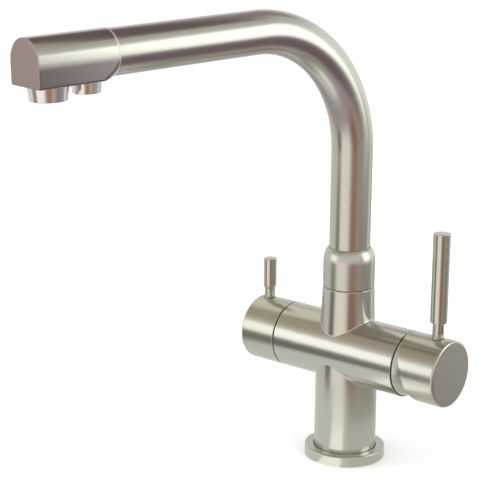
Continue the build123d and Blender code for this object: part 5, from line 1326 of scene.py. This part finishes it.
def studio_camera(scene):
    """Camera at the photograph's place and angle."""
    yaw, pitch, roll = CAMERA_TURNS
    look = Vector((-math.sin(yaw) * math.cos(pitch), math.cos(yaw) * math.cos(pitch), math.sin(pitch)))
    right = Vector((math.cos(yaw), math.sin(yaw), 0))
    up = right.cross(look)
    right_turned = right * math.cos(roll) + up * math.sin(roll)
    up_turned = up * math.cos(roll) - right * math.sin(roll)
    lens = bpy.data.cameras.new("camera")
    lens.sensor_width = CAMERA_SENSOR
    lens.lens = CAMERA_LENS
    lens.clip_start = 0.05
    lens.clip_end = 50.0
    camera = bpy.data.objects.new("camera", lens)
    turn = Matrix((right_turned, up_turned, -look)).transposed().to_4x4()
    camera.matrix_world = Matrix.Translation(CAMERA_PLACE) @ turn
    scene.collection.objects.link(camera)
    scene.camera = camera


class TAP_OT_studio(bpy.types.Operator):
    """Floor, backdrop, lamps and the camera at the photograph's angle"""

    bl_idname = "tap.studio"
    bl_label = "Studio"

    def execute(self, context):
        scene = context.scene
        scene.view_settings.view_transform = "Standard"
        studio_world(scene)
        studio_floor(scene)
        dark_flag(*DARK_FLAG)
        for number, box in enumerate(SOFT_BOXES):
            soft_box(f"soft_box_{number + 1}", *box)
        area_lamp("key", *KEY_LAMP, scene.tap_studio.key_power)
        area_lamp("fill", *FILL_LAMP, scene.tap_studio.fill_power)
        studio_camera(scene)
        return {"FINISHED"}


OPERATORS = (
    TAP_OT_inner_pieces,
    TAP_OT_body_casting,
    TAP_OT_base_ring,
    TAP_OT_swivel_collar,
    TAP_OT_spout_tube,
    TAP_OT_spout_head,
    TAP_OT_outlets,
    TAP_OT_dome_ring,
    TAP_OT_mixer_handle,
    TAP_OT_filter_handle,
    TAP_OT_valve_ring,
    TAP_OT_studio,
)


class TAP_PT_panel(bpy.types.Panel):
    """Sidebar list of the tap's pieces and values"""

    bl_label = "Filter tap"
    bl_idname = "TAP_PT_panel"
    bl_space_type = "VIEW_3D"
    bl_region_type = "UI"
    bl_category = "Filter tap"

    def draw(self, context):
        layout = self.layout
        for group in (context.scene.tap_sizes, context.scene.tap_finish, context.scene.tap_studio):
            box = layout.box()
            for value in group.__annotations__:
                box.prop(group, value)
        for operator in OPERATORS:
            layout.operator(operator.bl_idname)


GROUPS = (TapSizes, TapFinish, StudioLook)


def register():
    for part in (*GROUPS, *OPERATORS, TAP_PT_panel):
        bpy.utils.register_class(part)
    bpy.types.Scene.tap_sizes = bpy.props.PointerProperty(type=TapSizes)
    bpy.types.Scene.tap_finish = bpy.props.PointerProperty(type=TapFinish)
    bpy.types.Scene.tap_studio = bpy.props.PointerProperty(type=StudioLook)


def unregister():
    del bpy.types.Scene.tap_studio
    del bpy.types.Scene.tap_finish
    del bpy.types.Scene.tap_sizes
    for part in reversed((*GROUPS, *OPERATORS, TAP_PT_panel)):
        bpy.utils.unregister_class(part)


def main():
    register()
    for operator in OPERATORS:
        group, name = operator.bl_idname.split(".")
        getattr(getattr(bpy.ops, group), name)()


if __name__ == "__main__":
    main()
